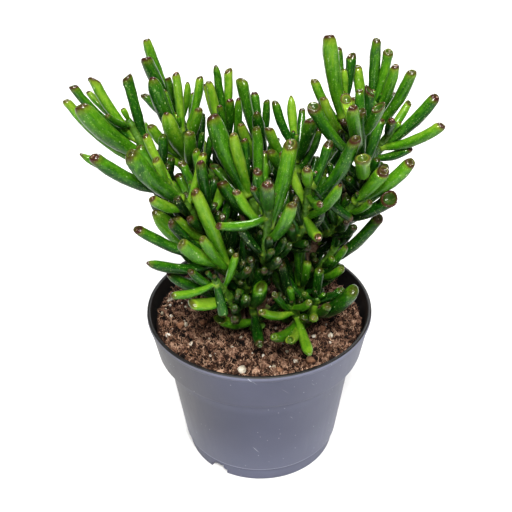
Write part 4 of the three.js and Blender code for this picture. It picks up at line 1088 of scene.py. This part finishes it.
def leafy_shoot(s, tree, skins, patterns):
    """The stalk of a shoot with its leaves, and a pair of small new leaves at its bud."""
    draw = seeded(SEED + 53 * s["index"] + 11)
    start = s["collar"] - s["axis"] * 1.0
    bud = s["tip"] + s["axis"] * BUD_RISE
    long = np.linalg.norm(bud - start)
    swells = [(np.linalg.norm(leaf["node"] - start) / long, 0.16, 1.1) for leaf in s["leaves"][::2]]
    stalk = tube_rows((start, (start + bud) / 2, bud), (SHOOT_RADIUS - 0.05, BUD_RADIUS), STALK_RINGS,
        (0.9, 1.3), swells)
    leaves = list(s["leaves"])
    sideways = unit(np.cross(s["axis"], UP + 0.3))
    for spread in (-sideways, sideways):
        base = s["tip"] + s["axis"] * (BUD_RISE - 1.0)
        middle = base + s["axis"] * 3.2 + spread * 1.6
        end = middle + s["axis"] * draw(3.0, 4.4) + spread * draw(0.4, 1.2)
        leaves.append(dict(base=base, middle=middle, end=end, radius=1.15, wide=1.05, flare=0.85,
            axis=s["axis"], small=True))
    return leafy_piece(f"leafy_{s['name']}", [stalk], leaves, draw, tree, skins, patterns)


def leafy_piece(name, rows, leaves, draw, tree, skins, patterns):
    """One piece of leaves, each a loose point that holds its bow, with the stalk that its rows give."""
    points, edges, numbers = joined_rows(rows) if rows else (np.zeros((0, 3)), (), {})
    before, count = len(points), len(leaves)
    x, y, z = np.array([leaf["end"] for leaf in leaves]).T
    # Painted light and shade in each leaf's tone: higher leaves lighter, leaves to the right darker, low
    # leaves at the front lighter and the inner leaves darker.
    painted_light = np.interp(z, (95, 150, 225), (0.22, 0.42, 0.66)) - np.interp(x, (10, 80), (0, 0.14))
    if rows:
        painted_light = painted_light + np.interp(y, (-52, -34), (0.24, 0)) * np.interp(z, (125, 155), (1, 0))
    else:
        painted_light = painted_light - INNER_PAINTED_SHADE
    red = np.interp(z, (105, 165), (0.1, 0.62))
    own = dict(thick=np.zeros(count), green=np.ones(count), run=np.zeros(count),
        size=[leaf["radius"] * MM for leaf in leaves],
        tone=np.clip([glow + draw(-0.3, 0.3) for glow in painted_light], 0, 1),
        wide=[leaf["wide"] for leaf in leaves], flare=[leaf["flare"] for leaf in leaves],
        blush=[(share + draw(0, 0.38)) * (1 if rows else 0.4) for share in red],
        length=[np.linalg.norm(leaf["end"] - leaf["base"]) * MM for leaf in leaves])
    numbers = {key: np.concatenate([numbers.get(key, np.zeros(before)), own[key]]) for key in own}
    mouths = [-1] * before + [MOUTH_NUMBER[mouth_of(leaf, draw)] for leaf in leaves]
    numbers["mouth"] = np.array(mouths, np.int32)
    vectors = {key: [leaf[key] * MM for leaf in leaves] for key in ("base", "middle", "end")}
    vectors["axis"] = [leaf["axis"] for leaf in leaves]
    vectors["shift"] = [(draw(0, 400), draw(0, 400), draw(0, 400)) for _ in leaves]
    vectors = {key: np.vstack([np.zeros((before, 3)), values]) for key, values in vectors.items()}
    points = np.vstack([points, np.zeros((count, 3))])
    obj = mesh_object(name, points, edges=edges, numbers=numbers, vectors=vectors)
    return grown(obj, tree, **skins, **patterns)


# ---- Pot ----
ARC_STEPS = 4
POT_SIDES = 180
DRAIN_SIDES = 32
LIP_WIDTH = 2.2
LIP_HEIGHT = 2.2
LIP_OUT = 0.9
NOTCH_ROUND = 2.2


def lathe(name, profile, sides, inner_from=math.inf):
    """A turned solid from (radius, z) points, with its faces from inner_from on in a second slot."""
    turn = 2 * math.pi * np.arange(sides) / sides
    points, rings = [], []
    for radius, z in profile:
        start = len(points)
        if radius == 0:
            points.append((0, 0, z))
            rings.append([start] * sides)
        else:
            points += [(radius * math.cos(a), radius * math.sin(a), z) for a in turn]
            rings.append([start + i for i in range(sides)])
    faces, slots = [], []
    for k in range(len(rings) - (0 if profile[0][0] else 1)):
        low, high = rings[k], rings[(k + 1) % len(rings)]
        for i in range(sides):
            j = (i + 1) % sides
            face = tuple(dict.fromkeys((low[i], low[j], high[j], high[i])))
            if len(face) > 2:
                faces.append(face)
                slots.append(int(k >= inner_from))
    obj = mesh_object(name, points, faces)
    obj.data.polygons.foreach_set("material_index", slots)
    return obj


def rounded(corners):
    """A profile with its corners as small arcs. A corner is (r, z, arc's radius), or (0, z) on the axis."""
    result = []
    for k, (r, z, *arc) in enumerate(corners):
        if not arc:
            result.append((r, z))
            continue
        here = vec((r, z))
        before, after = (vec(corners[n % len(corners)][:2]) - here for n in (k - 1, k + 1))
        reach = min(arc[0], np.linalg.norm(before) * 0.45, np.linalg.norm(after) * 0.45)
        ends = here + unit(before) * reach, here + unit(after) * reach
        result += [tuple(at) for at in bow(ends[0], here, ends[1], np.linspace(0, 1, ARC_STEPS + 1))[0]]
    return result


def cut(obj, cutters):
    for cutter in cutters:
        modifier = obj.modifiers.new("cut", "BOOLEAN")
        modifier.operation = "DIFFERENCE"
        modifier.solver = "EXACT"
        modifier.object = cutter
    settled(obj)
    discard(*cutters)


def block(size, at, angle, bevel):
    """A box cutter with rounded edges."""
    work = bmesh.new()
    bmesh.ops.create_cube(work, size=1.0)
    bmesh.ops.scale(work, vec=[s * MM for s in size], verts=work.verts)
    bmesh.ops.bevel(work, geom=list(work.edges), offset=bevel * MM, segments=3, affect="EDGES")
    bmesh.ops.translate(work, vec=[v * MM for v in at], verts=work.verts)
    bmesh.ops.rotate(work, cent=(0, 0, 0), matrix=Matrix.Rotation(angle, 3, "Z"), verts=work.verts)
    mesh = bpy.data.meshes.new("cutter")
    work.to_mesh(mesh)
    return linked("cutter", mesh)


def nursery_pot(skin, lining):
    under = POT_HEIGHT - LIP_HEIGHT
    outside = [(FOOT_RADIUS - FOOT_RING, 0, 0.5), (FOOT_RADIUS, 0, 0.7), (FOOT_RADIUS, STEP_Z - 1, 0.3),
        (WALL_LOW_RADIUS, STEP_Z, 0.5), (WALL_TOP_RADIUS, BAND_LOW_Z, 1.2),
        (BAND_LOW_RADIUS, BAND_LOW_Z, 1.6), (RIM_RADIUS - LIP_OUT, under - 1, 0.6),
        (RIM_RADIUS, under, 0.5), (RIM_RADIUS - 0.3, POT_HEIGHT, 0.8)]
    inside = [(RIM_RADIUS - LIP_WIDTH, POT_HEIGHT, 0.8), (BAND_LOW_RADIUS - WALL, BAND_LOW_Z + WALL, 1.2),
        (WALL_TOP_RADIUS - WALL, BAND_LOW_Z + WALL, 1.2), (WALL_LOW_RADIUS - WALL, STEP_Z + WALL, 0.4),
        (FOOT_RADIUS - WALL, STEP_Z, 0.4), (FOOT_RADIUS - WALL, FLOOR_Z + WALL, 0.4), (0, FLOOR_Z + WALL),
        (0, FLOOR_Z), (FOOT_RADIUS - FOOT_RING, FLOOR_Z, 0.4)]
    profile = rounded(outside + inside)
    top = next(k for k, (_, z) in enumerate(profile) if z > POT_HEIGHT - 0.45)
    pot = lathe("pot_body", profile, POT_SIDES, inner_from=top)
    pot.data.materials.append(skin)
    pot.data.materials.append(lining)
    for face in pot.data.polygons:
        if face.center.z <= FLOOR_Z * MM + 0.0004:
            face.material_index = 0
    size = FOOT_RING * 3, NOTCH_WIDTH, NOTCH_HEIGHT * 2
    cutters = [block(size, (FOOT_RADIUS, 0, 0), math.radians(angle), NOTCH_ROUND) for angle in NOTCH_ANGLES]
    for i in range(DRAINS):
        turn = 2 * math.pi * (i + 0.5) / DRAINS
        high = WALL * 4
        drain = lathe("cutter", [(0, 0), (DRAIN_RADIUS, 0), (DRAIN_RADIUS, high), (0, high)], DRAIN_SIDES)
        place = DRAIN_CIRCLE * math.cos(turn), DRAIN_CIRCLE * math.sin(turn), FLOOR_Z - WALL * 2
        drain.data.transform(Matrix.Translation([v * MM for v in place]))
        cutters.append(drain)
    cut(pot, cutters)
    pot.data.set_sharp_from_angle(angle=math.radians(32))
    return pot


# ---- Soil ----
BED_RADIUS = 55.6
BED_SIDES = 150
SOIL_LOWEST = 75
GRIT_REACH = 53.5
PATTERNS = 4
FIBRE_STEPS = 4
FIBRE_RADIUS = 0.058
BED = ((0.1, (0.006, 0.003, 0.002)), (0.5, (0.05, 0.024, 0.015)), (0.9, (0.12, 0.06, 0.036)))
PEAT = ((0.2, (0.004, 0.002, 0.0015)), (0.42, (0.044, 0.021, 0.014)), (0.62, (0.17, 0.092, 0.061)),
    (0.88, (0.42, 0.275, 0.195)))
FIBRE = ((0.1, (0.04, 0.018, 0.011)), (0.45, (0.26, 0.142, 0.087)), (0.88, (0.61, 0.43, 0.31)))
MINERAL = ((0.2, (0.26, 0.22, 0.16)), (0.5, (0.47, 0.43, 0.35)), (0.85, (0.70, 0.67, 0.60)))
CHIP = ((0.15, (0.07, 0.030, 0.018)), (0.5, (0.22, 0.112, 0.066)), (0.9, (0.38, 0.23, 0.145)))
# White grains that show beside the plant: x, y and size across.
GRAINS = ((-49, 12, 3.2), (-50.5, 1, 2.6), (-47, -4, 2.0), (-35, -27, 3.0), (-9, -48, 4.6), (-40, 5, 1.6),
    (-22, -13, 1.7), (18, -41, 2.8), (28, -20, 2.6), (37, -20, 3.2), (36, -27, 2.0), (-46, -20, 1.8),
    (-4, -33, 1.6), (-25, -38, 1.5), (12, -27, 1.3), (45, 2, 1.8), (-14, -30, 1.5), (5, -44, 1.4))
CHIPS = ((-42, -11, 5.0), (-30, -9, 4.4), (25, -42, 5.2), (10, -47, 4.2), (33, -14, 4.0), (-38, -33, 2.4),
    (43, -9, 3.0))


def soil_height(x, y):
    """The surface of the CAD's soil."""
    swell = np.sin(x * 0.11 + 1.3) * np.cos(y * 0.09 + 0.4) + 0.6 * np.sin(x * 0.23 - y * 0.19)
    return SOIL_Z + SOIL_RELIEF * 0.6 * swell - y * 0.012 - x * 0.012


def soil_bed(skin):
    """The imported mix: as the CAD's, with a rough top that falls away at the wall."""
    inset = WALL + GAP
    low = [(0, FLOOR_Z + inset), (FOOT_RADIUS - inset, FLOOR_Z + inset), (FOOT_RADIUS - inset, STEP_Z),
        (WALL_LOW_RADIUS - inset, STEP_Z + inset), (WALL_TOP_RADIUS - inset, BAND_LOW_Z + inset),
        (BAND_LOW_RADIUS - inset, BAND_LOW_Z + inset), (BED_RADIUS - 0.2, SOIL_LOWEST + 1)]
    radii = [*np.linspace(BED_RADIUS, 50, 8), *np.linspace(48.5, 1.5, 32), 0]
    bed = lathe("soil_bed", low + [(radius, POT_HEIGHT) for radius in radii], BED_SIDES)
    points = np.empty(len(bed.data.vertices) * 3)
    bed.data.vertices.foreach_get("co", points)
    points = points.reshape(-1, 3) / MM
    x, y = points[:, 0], points[:, 1]
    rough = sum(0.42 / k**0.7 * np.sin(0.37 * k * x + 1.7 * k + 2.1 * np.sin(0.21 * k * y))
        * np.cos(0.41 * k * y + 0.9 * k + 1.6 * np.sin(0.19 * k * x)) for k in (1, 2, 3, 5))
    slack = 3.2 + 2.4 * np.clip(x / 55, -1, 1) + 1.2 * np.sin(3 * np.arctan2(y, x))
    edge = np.clip((np.hypot(x, y) - (BED_RADIUS - slack)) / slack, 0, 1) ** 2
    top = points[:, 2] > POT_HEIGHT - 5
    points[top, 2] = (soil_height(x, y) + rough - 5.5 * edge)[top]
    bed.data.vertices.foreach_set("co", (points * MM).ravel())
    bed.data.update()
    give(bed.data, "tone", np.full(len(points), 0.15))
    bed.data.materials.append(skin)
    bed.data.shade_smooth()
    return bed


def lump(name, seed, rings, sides, roughness, flat=1.0):
    """A small irregular body, one millimetre across."""
    draw = seeded(seed)
    points = [(0, 0, -0.5 * flat)]
    for k in range(1, rings):
        polar = math.pi * k / rings
        for i in range(sides):
            turn = 2 * math.pi * (i + 0.5 * (k % 2)) / sides
            radius = 0.5 * (1 + draw(-roughness, roughness))
            out = radius * math.sin(polar)
            points.append((out * math.cos(turn), out * math.sin(turn), -radius * math.cos(polar) * flat))
    points.append((0, 0, 0.5 * flat))
    top, last = len(points) - 1 - sides, len(points) - 1
    faces = []
    for i in range(sides):
        j = (i + 1) % sides
        faces.append((0, 1 + j, 1 + i))
        faces += [(a + i, a + j, a + sides + j, a + sides + i) for a in range(1, top, sides)]
        faces.append((last, top + i, top + j))
    return mesh_object(name, points, faces)


def fibre(name, seed):
    """A curled plant fibre, one millimetre long."""
    draw = seeded(seed)
    steps = FIBRE_STEPS
    points = []
    for k in range(steps + 1):
        thick = FIBRE_RADIUS * (1 - 0.6 * abs(2 * k / steps - 1))
        centre = vec((draw(-0.13, 0.13), draw(-0.13, 0.13), k / steps - 0.5))
        points += [centre + (thick * math.cos(turn), thick * math.sin(turn), 0)
            for turn in (2 * math.pi * i / 3 for i in range(3))]
    faces = [(3 * k + i, 3 * k + j, 3 * k + 3 + j, 3 * k + 3 + i)
        for k in range(steps) for i, j in ((0, 1), (1, 2), (2, 0))]
    faces += [(2, 1, 0), (3 * steps, 3 * steps + 1, 3 * steps + 2)]
    return mesh_object(name, points, faces)


def scatter_tree():
    """Strews copies of the patterns over the top of a surface."""
    tree, g, given = new_tree("strewn_grit", ("Density", "Float", 1000.0), ("Least", "Float", 1.0),
        ("Greatest", "Float", 3.0), ("Reach", "Float", 0.054), ("Lift", "Float", 0.0),
        ("Lie", "Float", 1.57), ("Seed", "Int", 1), ("Skin", "Material"),
        *((f"Pattern {k}", "Object") for k in range(PATTERNS)))

    def drawn(low, high, step):
        return g.add("FunctionNodeRandomValue", {"data_type": "FLOAT"},
            {"Min": low, "Max": high, "Seed": given.out("Seed") + float(step)})

    x, y, z = g.separate(g.add("GeometryNodeInputPosition"))
    _, _, up = g.separate(g.add("GeometryNodeInputNormal", out="Normal"))
    reach, lie, least = given.out("Reach"), given.out("Lie"), given.out("Least")
    inside = (x * x + y * y).math("LESS_THAN", reach * reach)
    kept = inside * up.math("GREATER_THAN", 0.35) * z.math("GREATER_THAN", SOIL_LOWEST * MM)
    points = g.add("GeometryNodeDistributePointsOnFaces", {"distribute_method": "RANDOM"},
        {"Mesh": given.out("Geometry"), "Density": given.out("Density") * kept, "Seed": given.out("Seed")},
        out="Points")
    points = stored(g, points, "tone", drawn(0.0, 1.0, 10))
    points = stored(g, points, "which", drawn(0.0, PATTERNS - 0.001, 20).math("FLOOR"))
    share = drawn(0.0, 1.0, 30)
    points = stored(g, points, "scale", least + (given.out("Greatest") - least) * share * share)
    turn = g.combine(drawn(-1.0, 1.0, 40) * lie, drawn(-1.0, 1.0, 50) * lie, drawn(0.0, 6.28, 60))
    points = stored(g, points, "turn", turn, "FLOAT_VECTOR")
    points = g.add("GeometryNodeSetPosition", {}, {"Geometry": points,
        "Offset": g.combine(0.0, 0.0, given.out("Lift") * named(g, "scale"))})
    copies = []
    for k in range(PATTERNS):
        chosen = named(g, "which").math("COMPARE", float(k), 0.1)
        pattern = g.add("GeometryNodeObjectInfo", {}, {"Object": given.out(f"Pattern {k}")}, out="Geometry")
        spin = g.add("FunctionNodeEulerToRotation", {}, {0: named(g, "turn", "FLOAT_VECTOR")})
        copies.append(g.add("GeometryNodeInstanceOnPoints", {}, {"Points": points, "Selection": chosen,
            "Instance": pattern, "Rotation": spin, "Scale": named(g, "scale")}))
    g.add("NodeGroupOutput", {}, {"Geometry": skinned(g, made_real(g, copies), given.out("Skin"))})
    return tree


# ---- Making it ----
def make_plant():
    shoots = sprout_shoots()
    make_twig_room(shoots)
    leaves = [leaf for s in shoots for leaf in s["leaves"]]
    posts = posts_of(shoots)
    make_room(leaves, posts)
    for leaf in leaves:
        leaf["ease"] = 0.0
    inner = {name: stem_leaves(name) for name in STEMS}
    for s in shoots:
        inner[s["stem"]] += inner_leaves(s)
    make_room(leaves + [leaf for within in inner.values() for leaf in within], posts)
    patterns = {name: leaf_pattern(f"pattern_{name}", mouth) for name, mouth in MOUTHS.items()}
    bark = bark_skin()
    skins = {"Leaf skin": leaf_skin(), "Stalk skin": bark}
    stem_tree = woody_stem_tree()
    for name, stem in STEMS.items():
        finished(woody_stem(name, stem, shoots, stem_tree, bark), "bark", f"stem_{name}")
    shoot_tree = leafy_shoot_tree()
    for s in shoots:
        finished(leafy_shoot(s, shoot_tree, skins, patterns), "leaf", f"shoot_{s['name']}")
    for name, within in inner.items():
        if within:
            draw = seeded(SEED + 29 * STEM_NUMBER[name])
            piece = leafy_piece(f"inner_leaves_{name}", [], within, draw, shoot_tree, skins, patterns)
            finished(piece, "leaf")
    discard(*patterns.values())


def finished(piece, slot, *nodes):
    if nodes:
        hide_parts(*nodes)
    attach(piece, "root")


def four(shape, name, seed, *form):
    """Patterns of one kind, each a little different."""
    return {f"Pattern {k}": shape(f"{name}_{k}", seed + k, *form) for k in range(PATTERNS)}


def make_soil():
    bed = soil_bed(soil_skin("peat_bed", BED))
    tree = scatter_tree()
    kinds = {
        "soil_clods": dict(Skin=soil_skin("peat_clod", PEAT), Density=170000.0, Least=1.4, Greatest=4.4,
            Reach=GRIT_REACH * MM, Lift=0.15 * MM, Lie=3.1, Seed=11,
            **four(lump, "clod", 40, 5, 8, 0.36, 0.8)),
        "soil_crumbs": dict(Skin=soil_skin("peat_crumb", PEAT, 2.2), Density=900000.0, Least=0.6,
            Greatest=1.7, Reach=(GRIT_REACH + 1) * MM, Lift=0.6 * MM, Lie=3.1, Seed=23,
            **four(lump, "crumb", 60, 3, 5, 0.4)),
        "soil_fibres": dict(Skin=soil_skin("coir_fibre", FIBRE, 3.0, 0.8), Density=560000.0, Least=1.6,
            Greatest=5.4, Reach=GRIT_REACH * MM, Lift=0.34 * MM, Lie=0.75, Seed=37,
            **four(fibre, "fibre", 80)),
        "soil_perlite": dict(Skin=soil_skin("perlite", MINERAL, 1.6, 0.85), Density=11000.0, Least=0.7,
            Greatest=2.8, Reach=(GRIT_REACH - 0.5) * MM, Lift=0.8 * MM, Lie=3.1, Seed=41,
            **four(lump, "grain", 20, 5, 8, 0.2, 0.8)),
    }
    pieces = []
    for name, kind in kinds.items():
        pieces.append(grown(linked(name, bed.data.copy()), tree, **kind))
        discard(*(kind[f"Pattern {k}"] for k in range(PATTERNS)))
    grain, chip = soil_skin("white_grain", MINERAL, 1.4, 0.8), soil_skin("bark_chip", CHIP, 0.9, 0.85)
    pieces.append(placed_grit("soil_grains", GRAINS, grain, 5, 9, 0.16))
    pieces.append(placed_grit("soil_chips", CHIPS, chip, 4, 8, 0.3))
    finished(bed, "soil", "soil")
    for piece in pieces:
        finished(piece, "soil")


def placed_grit(name, spots, skin, rings, sides, roughness):
    """Bits of grit at given places on the soil, as one piece."""
    draw = seeded(len(name) * 97)
    whole = bmesh.new()
    for number, (x, y, size) in enumerate(spots):
        bit = lump("bit", 300 + 13 * number + len(name), rings, sides, roughness, draw(0.55, 0.85))
        turn = Matrix.Rotation(draw(0, 6.28), 4, "Z") @ Matrix.Rotation(draw(-0.5, 0.5), 4, "X")
        z = float(soil_height(x, y)) + size * 0.18 + 0.9
        bit.data.transform(Matrix.Translation((x * MM, y * MM, z * MM)) @ turn @ Matrix.Scale(size, 4))
        whole.from_mesh(bit.data)
        discard(bit)
    bmesh.ops.subdivide_edges(whole, edges=whole.edges, cuts=1, smooth=0.6, fractal=0.08, seed=3)
    mesh = bpy.data.meshes.new(name)
    whole.to_mesh(mesh)
    give(mesh, "tone", np.full(len(mesh.vertices), 0.62))
    mesh.materials.append(skin)
    mesh.shade_smooth()
    return linked(name, mesh)


def make_pot():
    finished(nursery_pot(pot_skin(), pot_lining()), "pot", "pot")


# ---- Camera, lights and floor ----
FOCAL_PIXELS = 966.9
FRAME_PIXELS = 512
ELEVATION = math.radians(34.13)
DISTANCE = 0.5
TARGET = Vector((0, 0, 0.12107))
ROLL = math.radians(-0.75)
OFFSET_PIXELS = 2.59
SENSOR = 36
FLOOR_REACH = 3
SKY = 0.12
# Each light: its place, size across, watts and colour.
LIGHTS = {
    "key": ((0.1, -2.3, 2.95), 1.2, 158, (1.0, 0.985, 0.96)),
    "top": ((-0.4, -0.3, 3.4), 0.9, 45),
    "left_glint": ((-0.8, -1.3, 1.7), 0.12, 9),
    "right_glint": ((0.9, -1.1, 1.8), 0.12, 7),
    "behind": ((0.5, 2.2, 1.9), 1.0, 34),
}


def make_camera():
    camera = bpy.data.cameras.new("camera")
    camera.sensor_width = SENSOR
    camera.lens = SENSOR * FOCAL_PIXELS / FRAME_PIXELS
    camera.shift_x = -OFFSET_PIXELS / FRAME_PIXELS
    obj = linked("camera", camera)
    obj.location = TARGET + DISTANCE * Vector((0, -math.cos(ELEVATION), math.sin(ELEVATION)))
    aim = (TARGET - obj.location).to_track_quat("-Z", "Y").to_matrix()
    obj.rotation_euler = (aim @ Matrix.Rotation(ROLL, 3, "Z")).to_euler()
    bpy.context.scene.camera = obj


def area_light(name, place, size, watts, color=(1, 1, 1)):
    light = bpy.data.lights.new(name, "AREA")
    light.shape = "DISK"
    light.size = size
    light.energy = watts
    light.color = color
    obj = linked(name, light)
    obj.location = place
    obj.rotation_euler = (TARGET - Vector(place)).to_track_quat("-Z", "Y").to_euler()


def make_studio():
    floor = bpy.data.meshes.new("floor")
    corners = [(x * FLOOR_REACH, y * FLOOR_REACH, 0) for x, y in ((-1, -1), (1, -1), (1, 1), (-1, 1))]
    floor.from_pydata(corners, [], [(0, 1, 2, 3)])
    f = Finish("pale_floor")
    pale = f.ramp(f.noise(f.place(), 0.003), (0.3, (0.79, 0.79, 0.79)), (0.7, (0.81, 0.81, 0.81)))
    floor.materials.append(f.shade(pale, 0.9))
    obj = linked("floor", floor)
    world = bpy.data.worlds.new("studio")
    world.use_nodes = True
    background = world.node_tree.nodes["Background"]
    background.inputs["Color"].default_value = (1, 1, 1, 1)
    background.inputs["Strength"].default_value = SKY
    scene = bpy.context.scene
    scene.world = world
    for name, light in LIGHTS.items():
        area_light(name, *light)
    scene.view_settings.view_transform = "Standard"
    scene.view_settings.look = "Medium High Contrast"


make_camera()
make_studio()
make_pot()
make_soil()
make_plant()
